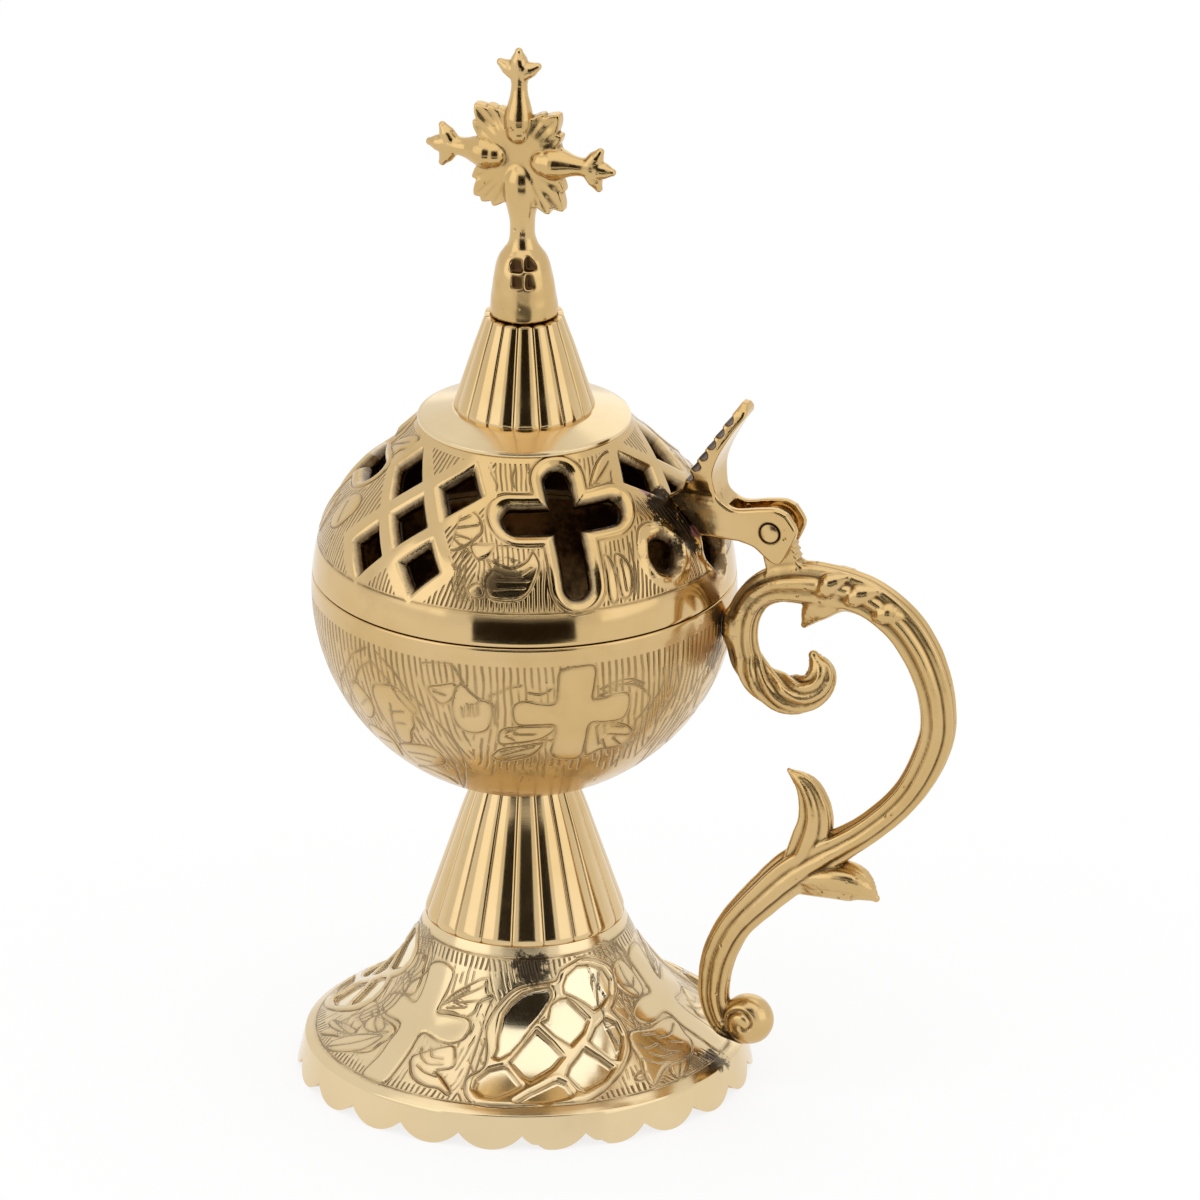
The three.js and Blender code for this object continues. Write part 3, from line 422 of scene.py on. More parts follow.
# Distance solids
def skin(distance, low, high, step):
    """Quads over the zero surface of a distance function."""
    block = 8
    low = np.array(low, float) - 2 * step
    count = np.ceil((np.array(high, float) - low) / step).astype(int) + 3
    blocks = -(-count // block)
    starts = lattice(blocks) * block
    centres = low + (starts + (block - 1) / 2) * step
    rough = np.concatenate([distance(c) for c in np.array_split(centres, 1 + len(centres) // 100000)])
    field = np.sign(rough).reshape(blocks) * FAR
    for axis in range(3):
        field = np.repeat(field, block, axis=axis)
    field = field.astype(np.float32)
    near = starts[np.abs(rough) < step * block * 0.95]
    offsets = lattice((block,) * 3)
    for part in np.array_split(near, 1 + len(near) // 300):
        index = (part[:, None] + offsets).reshape(-1, 3)
        field[tuple(index.T)] = distance(low + index * step)
    field = np.where(field == 0, 1e-6, field)

    corners = lattice((2, 2, 2))
    size = np.array(field.shape) - 1
    below = np.zeros(size, np.int8)
    for corner in corners:
        below += field[tuple(slice(c, c + n) for c, n in zip(corner, size))] < 0
    cells = np.argwhere((below > 0) & (below < 8))
    number = np.full(size, -1)
    number[tuple(cells.T)] = np.arange(len(cells))
    total, hits = np.zeros((len(cells), 3)), np.zeros(len(cells))
    for a in corners:
        for b in corners:
            if (b - a).sum() != 1 or np.abs(b - a).sum() != 1:
                continue
            fa, fb = field[tuple((cells + a).T)], field[tuple((cells + b).T)]
            cut = (fa < 0) != (fb < 0)
            t = fa[cut] / (fa[cut] - fb[cut])
            total[cut] += a + t[:, None] * (b - a)
            hits[cut] += 1
    points = low + (cells + total / hits[:, None]) * step
    faces = []
    for axis in range(3):
        side, other = (axis + 1) % 3, (axis + 2) % 3
        ahead = np.roll(field, -1, axis=axis)
        change = np.argwhere((field < 0) != (ahead < 0))
        keep = (change[:, axis] < size[axis]) & (change[:, side] > 0) & (change[:, other] > 0)
        keep &= (change[:, side] < size[side]) & (change[:, other] < size[other])
        change = change[keep]
        ring = []
        for ds, do in ((-1, -1), (0, -1), (0, 0), (-1, 0)):
            shifted = change.copy()
            shifted[:, side] += ds
            shifted[:, other] += do
            ring.append(number[tuple(shifted.T)])
        quads = np.stack(ring, 1)
        flip = field[tuple(change.T)] > 0
        quads[flip] = quads[flip][:, ::-1]
        faces.append(quads)
    faces = np.concatenate(faces)
    for _ in range(3):
        value, slope = distance(points), gradient(distance, points)
        move = value[:, None] * slope / (np.sum(slope**2, 1)[:, None] + 1e-9)
        points = points - np.clip(move, -step * 0.4, step * 0.4)
    return points, faces


def gradient(distance, points, delta=0.05):
    rises = [distance(points + shift) - distance(points - shift) for shift in np.eye(3) * delta]
    return np.stack(rises, 1) / (2 * delta)


def hollowness(distance, points, reach=0.5):
    """How far the surface lies in a crease: above zero in hollows, below on ridges."""
    total = -6 * distance(points)
    for shift in np.eye(3) * reach:
        total = total + distance(points + shift) + distance(points - shift)
    return -total / reach


def soft_min(a, b, blend):
    h = np.clip(0.5 + 0.5 * (b - a) / blend, 0, 1)
    return b * (1 - h) + a * h - blend * h * (1 - h)


def soft_max(a, b, blend):
    return -soft_min(-a, -b, blend)


def ripple(points, size, seed=0.0):
    """Slow unevenness, from crossed waves: about -1 to 1."""
    x, y, z = (points / size).T
    wave = np.sin(2.1 * x + 1.3 * y + seed) + np.sin(1.7 * y - 2.3 * z + 2 * seed)
    return (wave + np.sin(2.7 * z + 1.1 * x + 3 * seed) + np.sin(1.9 * (x + z) - 1.4 * y)) / 4


def spindle(points, start, end, radii):
    """A round bar from start to end whose radius follows the radii along it."""
    start, end = np.array(start, float), np.array(end, float)
    run = end - start
    length = np.linalg.norm(run)
    off = points - start
    held = np.clip(off @ run / length**2, 0, 1)
    radius = np.interp(held, np.linspace(0, 1, len(radii)), radii)
    return np.linalg.norm(off - held[:, None] * run, axis=1) - radius


def cast_skin(node, distance, step):
    """The skin of a cast piece, looked for in its node's box and a millimetre round it."""
    low, high = node_box(node)
    return skin(distance, low - (AXIS_X, 0, 0) - 1, high - (AXIS_X, 0, 0) + 1, step)


# Ornament
class Ornament:
    """Engraved lines and fields on a surface, in millimetres across and up from a place on it."""

    def __init__(self, angle, radius, up):
        self.angle, self.radius, self.up = angle, radius, up
        n = len(angle)
        self.line_near = np.full(n, FAR)
        self.line_side = np.full(n, FAR)
        self.ground = np.full(n, FAR)
        self.hatch = np.full(n, 0.5)
        self.lift = np.zeros(n)
        self.pane = np.zeros(n)
        self.x = np.zeros(n)
        self.live = np.ones(n, bool)

    def place(self, centre, half_width=math.pi, mirror=1):
        turn = wrap(self.angle - centre)
        self.x = self.radius * turn * mirror
        self.live = np.abs(turn) <= half_width

    def picked(self, path, margin):
        low, high = path.min(0) - margin, path.max(0) + margin
        near = self.live & (self.x > low[0]) & (self.x < high[0]) & (self.up > low[1]) & (self.up < high[1])
        found = np.flatnonzero(near)
        return found, np.stack([self.x[found], self.up[found]], 1)

    def cut(self, found, near, side):
        closer = near < self.line_near[found]
        found = found[closer]
        self.line_near[found] = near[closer]
        self.line_side[found] = side[closer]

    def clear(self, found):
        self.line_near[found] = FAR
        self.line_side[found] = FAR

    def line(self, path):
        path = np.asarray(path, float)
        found, points = self.picked(path, 1.2)
        if len(found):
            near, side = path_distance(points, path)
            self.cut(found, near, near * side)

    def level(self, values, level=0.0):
        """A line where the given values reach a level."""
        off = values - level
        found = np.flatnonzero(np.abs(off) < 1.2)
        self.cut(found, np.abs(off[found]), off[found])

    def field(self, outline, lift=0.0, edge=0.6):
        """A plain outlined field, kept free of hatching and raised by lift."""
        found, points = self.picked(outline, 2.5)
        if not len(found):
            return

        off = outline_distance(points, outline)
        self.ground[found] = np.minimum(self.ground[found], off)
        self.clear(found[off < -0.15])
        self.cut(found, np.abs(off), off)
        self.lift[found] = np.maximum(self.lift[found], lift * smooth(edge * 0.3, -edge, off))

    def shape(self, points, veins=(), lift=0.22):
        self.field(closed(points), lift)
        self.strokes(veins)

    def strokes(self, rows):
        for row in rows:
            self.line(spline(row, 0.6) if len(row) > 2 else np.array(row, float))

    def flow(self, row, count, shift):
        """The same stroke several times, each moved on by the shift."""
        for k in range(count):
            self.strokes([np.array(row, float) + np.array(shift) * k])

    def ticks(self, low, high, strength=1.0):
        """A row of short cuts between two heights, where nothing else is drawn."""
        lower_end = smooth(low - 0.15, low + 0.15, self.up)
        self.hatch = np.maximum(self.hatch, lower_end * smooth(high + 0.35, high - 0.35, self.up) * strength)

    def values(self):
        return {
            "line_near": np.clip(self.line_near, 0, 3),
            "line_side": np.clip(self.line_side, -3, 3),
            "ground": np.clip(self.ground, -3, 3),
            "hatch": self.hatch,
        }


# Shaders
class Value:
    """A socket that arithmetic can be written on."""

    def __init__(self, finish, socket):
        self.finish, self.socket = finish, socket

    def math(self, operation, *others):
        return self.finish.node("ShaderNodeMath", {"operation": operation}, [self, *others])

    def __add__(self, other):
        return self.math("ADD", other)

    def __sub__(self, other):
        return self.math("SUBTRACT", other)

    def __rsub__(self, other):
        return self.finish.node("ShaderNodeMath", {"operation": "SUBTRACT"}, [other, self])

    def __mul__(self, other):
        return self.math("MULTIPLY", other)

    def __truediv__(self, other):
        return self.math("DIVIDE", other)

    def __abs__(self):
        return self.math("ABSOLUTE")

    __radd__ = __add__
    __rmul__ = __mul__

    def ramp(self, low, high):
        """0 at low and 1 at high, smoothly."""
        return self.finish.node("ShaderNodeMapRange", {"interpolation_type": "SMOOTHSTEP"}, [self, low, high])

    def most(self, other):
        return self.math("MAXIMUM", other)


class Finish:
    """One material and the nodes that make it."""

    def __init__(self, name):
        self.material = bpy.data.materials.new(name)
        self.material.use_nodes = True
        self.tree = self.material.node_tree
        self.surface = self.tree.nodes["Principled BSDF"]

    def node(self, kind, settings=None, inputs=(), output=0):
        made = self.tree.nodes.new(kind)
        for key, value in (settings or {}).items():
            setattr(made, key, value)
        pairs = inputs.items() if isinstance(inputs, dict) else enumerate(inputs)
        for key, value in pairs:
            self.feed(made.inputs[key], value)
        return Value(self, made.outputs[output])

    def feed(self, socket, value):
        if isinstance(value, Value):
            self.tree.links.new(value.socket, socket)
        else:
            socket.default_value = value

    def attribute(self, name):
        return self.node("ShaderNodeAttribute", {"attribute_name": name}, output="Fac")

    def place(self, scale):
        spot = self.node("ShaderNodeTexCoord", output="Object")
        return self.node("ShaderNodeVectorMath", {"operation": "MULTIPLY"}, [spot, scale])

    def noise(self, scale, detail=2.0, roughness=0.5, vector=None):
        vector = vector or self.place((1, 1, 1))
        inputs = {"Vector": vector, "Scale": scale, "Detail": detail, "Roughness": roughness}
        return self.node("ShaderNodeTexNoise", {}, inputs)

    def mix(self, share, first, second):
        return self.node("ShaderNodeMix", {"data_type": "RGBA"}, {0: share, 6: first, 7: second}, output=2)

    def near(self, spot, low, high):
        """1 within low metres of a place on the object, 0 beyond high."""
        here = self.node("ShaderNodeTexCoord", output="Object")
        gap = self.node("ShaderNodeVectorMath", {"operation": "DISTANCE"}, [here, spot], output="Value")
        return 1 - gap.ramp(low, high)

    def set(self, **sockets):
        for key, value in sockets.items():
            self.feed(self.surface.inputs[key.replace("_", " ")], value)

    def bump(self, height, distance, strength=1.0, below=None):
        inputs = {"Strength": strength, "Distance": distance, "Height": height}
        if below is not None:
            inputs["Normal"] = below
        return self.node("ShaderNodeBump", {}, inputs)


def look():
    return bpy.context.scene.censer_look


def spot(x, y, z):
    return ((x + AXIS_X) * MM, y * MM, z * MM)


def lid_spot(turn, up, out=0.0):
    """A place on the lid, by its angle in degrees and its length up from the rim."""
    dome = even(lid_profile(), 0.2)
    radius = np.interp(up, lengths_along(dome), dome[:, 0]) + out
    height = np.interp(up, lengths_along(dome), dome[:, 1])
    return spot(radius * math.cos(math.radians(turn)), radius * math.sin(math.radians(turn)), height)


# Marks of brazing, and painted shade: kind of place, the place, reach in millimetres, strength and colour.
# The black marks where the handle meets the bowl and the foot, round the lever's root and where the stem
# meets the foot are painted shade.
BLACK_SCORCH_AND_SHADE_MARK = (0.022, 0.014, 0.009, 1)
SOOT_MARK = (0.14, 0.085, 0.04, 1)
STRAW_MARK = (0.46, 0.24, 0.08, 1)
LILAC_MARK = (0.36, 0.17, 0.20, 1)
HEAT_AND_SHADE_MARKS = {
    "lid": (
        (lid_spot, ROUND_HOLES[0], 8.0, 0.9, SOOT_MARK),
        (lid_spot, ROUND_HOLES[1], 9.5, 1.0, SOOT_MARK),
        (lid_spot, (-12, 23), 7.5, 1.2, BLACK_SCORCH_AND_SHADE_MARK),
        (lid_spot, (-11, 16), 7.0, 1.2, BLACK_SCORCH_AND_SHADE_MARK),
        (lid_spot, (-3, 17), 8.0, 1.2, BLACK_SCORCH_AND_SHADE_MARK),
        (lid_spot, (-6, 4), 7.0, 0.55, STRAW_MARK),
        (lid_spot, (-75.5, 13.5), 7.0, 0.9, BLACK_SCORCH_AND_SHADE_MARK),
        (lid_spot, (-80.5, 12.0), 4.0, 0.6, SOOT_MARK),
        (lid_spot, (-15, 28), 2.4, 1.2, LILAC_MARK),
        (lid_spot, (-6, 15), 2.6, 0.9, LILAC_MARK),
    ),
    "bowl": (
        (spot, (40.5, -9.0, 101.0), 8.0, 0.8, STRAW_MARK),
        (spot, (41.5, -3.0, 95.0), 6.0, 0.7, SOOT_MARK),
        (spot, (42.4, -4.0, 104.0), 4.0, 1.0, BLACK_SCORCH_AND_SHADE_MARK),
        (spot, (37.0, -18.0, 103.5), 4.0, 0.5, STRAW_MARK),
        (spot, (4.0, -20.0, 66.0), 8.0, 0.7, STRAW_MARK),
        (spot, (-12.0, -18.0, 67.0), 6.0, 0.6, STRAW_MARK),
    ),
    "foot": (
        (spot, (43.5, -3.5, 9.0), 5.5, 1.0, BLACK_SCORCH_AND_SHADE_MARK),
        (spot, (40.0, -9.0, 10.0), 5.0, 0.55, SOOT_MARK),
        (spot, (36.0, -11.0, 12.0), 6.0, 0.25, STRAW_MARK),
        (spot, (8.6, -19.4, 29.0), 6.0, 1.1, BLACK_SCORCH_AND_SHADE_MARK),
    ),
    "handle": (
        (spot, (43.0, 0.0, 100.0), 5.5, 1.1, BLACK_SCORCH_AND_SHADE_MARK),
        (spot, (46.5, 0.0, 108.0), 8.0, 0.6, SOOT_MARK),
        (spot, (43.5, -1.0, 94.0), 5.0, 0.7, SOOT_MARK),
        (spot, (43.5, 0.0, 13.0), 5.5, 1.1, BLACK_SCORCH_AND_SHADE_MARK),
    ),
    "lever": (
        (spot, (37.0, 0.0, 127.0), 8.5, 0.8, SOOT_MARK),
        (lid_spot, (-11, 28, 2.0), 3.4, 1.0, LILAC_MARK),
    ),
}


def brass(
    name, polish, engraved=0.0, cast=False, turned=True,
    heat_and_shade="", pierced=False, highlight_share=0.0, pane_highlight=False, ink=1.0,
):
    """Polished brass with its slow tone changes, fine polishing marks, dark hollows that are partly tarnish
    and partly painted shade, painted highlights, brazing tints and black painted shade by joins.
    """
    f = Finish(name)
    tone = f.noise(38, 3, 0.6)
    fine = f.noise(420, 3, 0.6)
    colour = f.mix(tone.ramp(0.15 if cast else 0.35, 0.72), look().brass, look().warm_brass)
    dulled = f.noise(90, 4, 0.65).ramp(0.52, 0.8)
    colour = f.mix(dulled * 0.35, colour, look().dull_brass)
    # Painted highlight: the piece is lightened towards the highlight colour by the share given
    colour = f.mix(highlight_share, colour, look().highlight_brass)
    # Painted highlight on the sunk cells of the skirt's lattice
    if pane_highlight:
        colour = f.mix(f.attribute("pane") * 0.85, colour, look().highlight_brass)
    rough = polish + tone * 0.06 + dulled * 0.08
    marks = f.noise(1, 2, 0.6, f.place((90, 90, 5200) if turned else (900, 900, 300)))
    normal = f.bump(marks, 0.000004, 0.6)
    normal = f.bump(f.noise(60, 2, 0.5), 0.00012, 1.0, normal)
    if cast:
        cells = {"Vector": f.place((1, 1, 1)), "Scale": 520.0}
        pits = f.node("ShaderNodeTexVoronoi", {}, cells, output="Distance")
        pitted = (1 - pits.ramp(0.08, 0.26)) * f.noise(120, 1).ramp(0.56, 0.64)
        normal = f.bump(f.noise(300, 2), 0.00003, 0.8, normal)
        normal = f.bump(1 - pitted, 0.00012, 1.0, normal)
    # Darkening in creases and gaps: partly tarnish, partly painted shade; the near-black in the gap round the
    # pin and in the lever's notches is painted shade
    if cast or not engraved:
        crease_tarnish_and_shade = f.attribute("crease_tarnish_and_shade")
        dark = (crease_tarnish_and_shade + fine * 0.24 - 0.12).ramp(0.0, 0.8)
        if cast:
            dark = dark.most(pitted * 0.8)
        colour = f.mix(dark * 0.62, colour, look().tarnish)
        colour = f.mix((crease_tarnish_and_shade + fine * 0.2).ramp(0.7, 1.4) * 0.9, colour, look().patina_and_shade)
        colour = f.mix((crease_tarnish_and_shade + fine * 0.2).ramp(1.42, 1.58), colour, look().soot_and_shade)
        rough = rough + dark * 0.18
    if engraved:
        cutting, shade, hatch = engraving(f, engraved, fine)
        # The brown beside the lines is painted shade that gives the fields relief; the hatching takes the
        # same brown
        colour = f.mix((shade * 0.34).most(hatch * 0.55), colour, look().tarnish)
        darkest = (cutting * 0.62).most(hatch * (f.attribute("hatch") * 0.5 + 0.35))
        colour = f.mix(darkest * ink, colour, look().patina_and_shade)
        cutting = cutting.most(hatch * 0.8)
        plain = 1 - f.attribute("ground").ramp(-2.6, -1.0)
        rough = rough + cutting * 0.16 + 0.04 - plain * 0.06
        normal = f.bump(1 - cutting, 0.00018, 1.0, normal)
    if pierced:
        mottled = f.noise(330, 4, 0.7)
        wall = f.attribute("wall")
        colour = f.mix((wall * 1.3 + mottled * 0.9 - 0.75).ramp(0.0, 0.7) * 0.8, colour, look().grime)
        # Painted shade: the cut walls of the openings are made nearly black; the grey-brown above is grime
        colour = f.mix((wall + mottled * 0.4).ramp(0.95, 1.25), colour, look().patina_and_shade)
        rough = rough + wall * 0.2
        normal = f.bump(mottled * wall, 0.00025, 1.0, normal)
    specks = f.noise(380, 6, 0.75).ramp(0.34, 0.66)
    # Brazing tints, and black painted shade where parts meet
    for place, at, reach, strength, mark in HEAT_AND_SHADE_MARKS.get(heat_and_shade, ()):
        share = (f.near(place(*at), 0.0, reach * MM) * 1.5 + specks * 0.9 - 0.95).ramp(0.0, 0.35)
        colour = f.mix(share * (0.8 * strength), colour, mark)
        rough = rough + share * 0.14
    f.set(Base_Color=colour, Metallic=1.0, Roughness=rough, Normal=normal)
    return f.material


def engraving(f, pitch, fine):
    """Soft cut lines, the brown painted shade beside them and broken hatching, each from 0 to 1."""
    side, near = abs(f.attribute("line_side")), f.attribute("line_near")
    worn = f.noise(160, 2).ramp(0.3, 0.6)
    wander = (fine - 0.5) * 0.26
    line = (1 - (side + wander).ramp(0.05, 0.33)) * (1 - near.ramp(0.3, 0.55)) * (0.3 + worn * 0.7)
    shade = (1 - (side + wander).ramp(0.15, 0.95)) * (1 - near.ramp(0.4, 1.1))
    place = f.node("ShaderNodeUVMap", {"uv_map": "engraving"})
    across = f.node("ShaderNodeSeparateXYZ", {}, [place])
    up = Value(f, across.socket.node.outputs[1])
    sway = f.noise(1, 2, 0.5, f.place((150, 150, 80))) - 0.5
    phase = across / pitch + sway * 1.4
    stroke = phase.math("FLOOR")
    chance = f.node("ShaderNodeTexWhiteNoise", {"noise_dimensions": "1D"}, {"W": stroke})
    groove = 1 - abs(phase.math("FRACT") - 0.5).ramp(0.06, 0.30)
    lengths = f.node("ShaderNodeCombineXYZ", {}, [stroke * 7.3, up * 0.2, 0.0])
    strength = f.attribute("hatch")
    broken = (f.noise(1, 1, 0.5, lengths) + strength * 0.5 - 0.25).ramp(0.36, 0.5)
    hatch = groove * broken * (0.4 + chance * 0.3 + strength * 0.3) * f.attribute("ground").ramp(0.25, 0.65)
    return line, shade, hatch


def sooty(name, soot_and_shade):
    """Brass inside the bowl and lid, browned by smoke and the coals' warmth, with a painted highlight in a
    band at the rim's height.
    """
    f = Finish(name)
    cloud = f.noise(70, 5, 0.65)
    colour = f.mix(cloud.ramp(0.42, 0.64) * (1.35 - soot_and_shade), look().soot_and_shade, look().warm_soot)
    colour = f.mix(f.noise(160, 3).ramp(0.55, 0.75) * (1 - soot_and_shade), colour, look().dull_brass)
    height = f.node("ShaderNodeSeparateXYZ", {}, [f.place((1, 1, 1))], output="Z")
    # Painted highlight in a band about a millimetre either side of the rim's height
    colour = f.mix(1 - abs(height / MM - BOWL_HIGH[2]).ramp(0.8, 1.2), colour, look().highlight_brass)
    normal = f.bump(f.noise(700, 3), 0.00004, 0.8)
    f.set(Base_Color=colour, Metallic=0.9, Roughness=0.2 + cloud * 0.25, Normal=normal)
    return f.material


def tint(name, description, red, green, blue):
    default = (red, green, blue, 1)
    return bpy.props.FloatVectorProperty(
        name=name, description=description, subtype="COLOR", size=4, min=0, max=1, default=default
    )


def length(name, description, default, low):
    return bpy.props.FloatProperty(name=name, description=description, default=default, min=low, unit="NONE")


def reed_count(name, description, default):
    return bpy.props.IntProperty(name=name, description=description, default=default, min=6)


class CENSER_PG_look(bpy.types.PropertyGroup):
    brass: tint("Brass", "Polished brass", 0.675, 0.483, 0.24)
    warm_brass: tint("Warm brass", "Brass where the tone turns warmer", 0.62, 0.42, 0.175)
    dull_brass: tint("Dull brass", "Brass with a thin tarnish", 0.47, 0.315, 0.13)
    # Colour of the painted highlights on the skirt, collar and reeds, in the lattice cells and in the band
    # inside at the rim's height
    highlight_brass: tint("Pale brass", "The brightest polished brass", 0.93, 0.80, 0.55)
    # Brown beside the engraved lines is painted shade, and in creases it is partly painted shade
    tarnish: tint("Tarnish", "Brown tarnish beside lines and in hollows", 0.36, 0.225, 0.085)
    # Darkest in the cuts, and painted shade in creases and on the cut walls of the openings
    patina_and_shade: tint("Patina", "Dark patina at the bottom of lines", 0.085, 0.046, 0.017)
    grime: tint("Grime", "Rough grey-brown on the walls of openings", 0.26, 0.20, 0.12)
    # Smoked brass inside, and painted shade in the gap round the pin and in the lever's notches
    soot_and_shade: tint("Soot", "Smoked brass inside", 0.075, 0.038, 0.015)
    warm_soot: tint("Warm soot", "Smoked brass where it shows through", 0.85, 0.52, 0.22)


class CENSER_PG_sizes(bpy.types.PropertyGroup):
    stem_reeds: reed_count("Stem reeds", "Reeds round the stem", 19)
    spire_reeds: reed_count("Spire reeds", "Reeds round the spire", 16)
    reed_height: length("Reed height", "Rise of a stem reed above its valleys, in millimetres", 0.44, 0.1)
    relief_step: length("Relief step", "Spacing of the engraved meshes, in millimetres", 0.42, 0.2)
    hatch_pitch: length("Hatch pitch", "Spacing of the cuts on the skirt, in millimetres", 1.2, 0.3)


def sizes():
    return bpy.context.scene.censer_sizes


def sector_across(shape, centres, hatch_tilt):
    """Places each face corner in millimetres across and up from the nearest of the centres."""

    def across(corner, face):
        radius, up = shape.radius(), shape.length_up()
        middle = np.full(face[-1] + 1, -FAR)
        np.maximum.at(middle, face, shape.angle[corner])
        gaps = np.abs(wrap(middle[:, None] - np.array(centres)[None]))
        home = np.array(centres)[gaps.argmin(1)][face]
        x = radius[corner] * wrap(shape.angle[corner] - home)
        return np.stack([x + hatch_tilt * up[corner], up[corner]], 1)

    return across


def thirds(*centres):
    return [centre + k * THIRD for centre in centres for k in range(3)]


def skirt_profile():
    start = (FOOT_RADIUS - LIP_FLARE, LIP_HEIGHT)
    return bezier(start, SKIRT_PULLS, (NECK_RADIUS, FOOT_HIGH[2]), SKIRT_SAMPLES)


def lid_profile():
    return bezier((RIM_RADIUS, LID_LOW[2]), LID_PULLS, (LID_TOP_RADIUS, LID_HIGH[2]), LID_SAMPLES)


def behind(path, wall):
    """The path moved inwards by the wall, all points level with it."""
    run = np.gradient(path, axis=0)
    run /= np.linalg.norm(run, axis=1)[:, None]
    return path + np.stack([-run[:, 1], run[:, 0]], 1) * wall


class CENSER_OT_foot(bpy.types.Operator):
    """Add the scalloped foot with its engraved skirt"""

    bl_idname = "censer.foot"
    bl_label = "Foot"

    def execute(self, context):
        shoulder = FOOT_RADIUS - LIP_FLARE
        lip = even([(FOOT_RADIUS, 0), (shoulder + 0.06, LIP_HEIGHT - 0.25)], 0.6)
        crease = [(shoulder - 0.02, LIP_HEIGHT - 0.05), (shoulder - 0.14, LIP_HEIGHT + 0.02)]
        skirt = even(skirt_profile(), sizes().relief_step * 0.95)[2:]
        shape = Turned(np.vstack([lip, crease, skirt]), SCALLOPS * SCALLOP_COLUMNS, SCALLOP_PHASE)
        up, top = shape.length_up(), shape.up[-1]
        low_border, high_border = SKIRT_BORDERS[0], top - SKIRT_BORDERS[1]
        ornament = Ornament(shape.angle, shape.radius(), up)
        ornament.hatch[:] = 0.34
        ornament.ticks(low_border, low_border + 2.2)
        ornament.ticks(high_border - 2.8, high_border)
        skirt_ornament(ornament)
        clear = np.minimum(up - low_border - 0.1, high_border - 0.2 - up)
        ornament.ground = np.minimum(ornament.ground, clear + 0.3)
        ornament.level(up, low_border)
        ornament.level(up, high_border)
        pitch = sizes().hatch_pitch
        # The skirt is lightened as a painted highlight, its lattice cells most
        make_piece(
            "foot_brass", scalloped(shape, ornament.lift), shape.faces(), "standing", "engraved_brass",
            brass("foot_brass", 0.10, engraved=pitch, heat_and_shade="foot", highlight_share=0.42, pane_highlight=True, ink=0.9), "foot",
            {**ornament.values(), "pane": ornament.pane},
            sector_across(shape, thirds(SKIRT_CROSS, SKIRT_LATTICE), 0.16), crease=60,
        )
        self.underside()
        return {"FINISHED"}

    def underside(self):
        top = FOOT_HIGH[2]
        web = top - FOOT_WEB
        inner = behind(even(skirt_profile(), UNDERSIDE_STEP), FOOT_WALL)[::-1]
        inner = inner[inner[:, 1] < web]
        under = [(NECK_RADIUS, top), (BORE_RADIUS, top), (BORE_RADIUS, web), (inner[0][0], web)]
        low = [(FOOT_RADIUS - FOOT_WALL, 3.0), (FOOT_RADIUS - FOOT_WALL, 0), (FOOT_RADIUS, 0)]
        back = Turned(np.vstack([under, inner, low]), SCALLOPS * SCALLOP_COLUMNS // 3, SCALLOP_PHASE)
        make_piece(
            "foot_underside", scalloped(back, 0.0), back.faces(), "standing", "engraved_brass",
            brass("foot_underside", 0.24), "foot", crease=40,
        )


def scalloped(shape, lift):
    """The points of a shape whose low edge is drawn up the lip's slope between the scallops."""
    points, rise = shape.points(lift), scallop_lift(shape)
    radius = np.hypot(points[:, 0], points[:, 1])
    points[:, :2] *= (1 - rise * LIP_FLARE / LIP_HEIGHT / radius)[:, None]
    points[:, 2] += rise
    return points


def scallop_lift(shape):
    """How far each point rises between two scallops of the lip."""
    height = shape.height()
    share = ((shape.angle - SCALLOP_PHASE) * SCALLOPS / (2 * math.pi) + 0.5) % 1.0 - 0.5
    pitch = 2 * math.pi * FOOT_RADIUS / SCALLOPS
    arch = (pitch**2 / 4 + SCALLOP_DEPTH**2) / (2 * SCALLOP_DEPTH)
    lift = arch - np.sqrt(arch**2 - (share * pitch) ** 2)
    edge = lift * (1 - np.clip(height / (LIP_HEIGHT - 0.6), 0, 1))
    nick = sum(0.5 * smooth(0.030, 0.0, np.abs(wrap(shape.angle - math.radians(a)))) for a in LIP_NICKS)
    return edge + nick * (1 - smooth(0, 1.2, height)) * (height < 1.5)


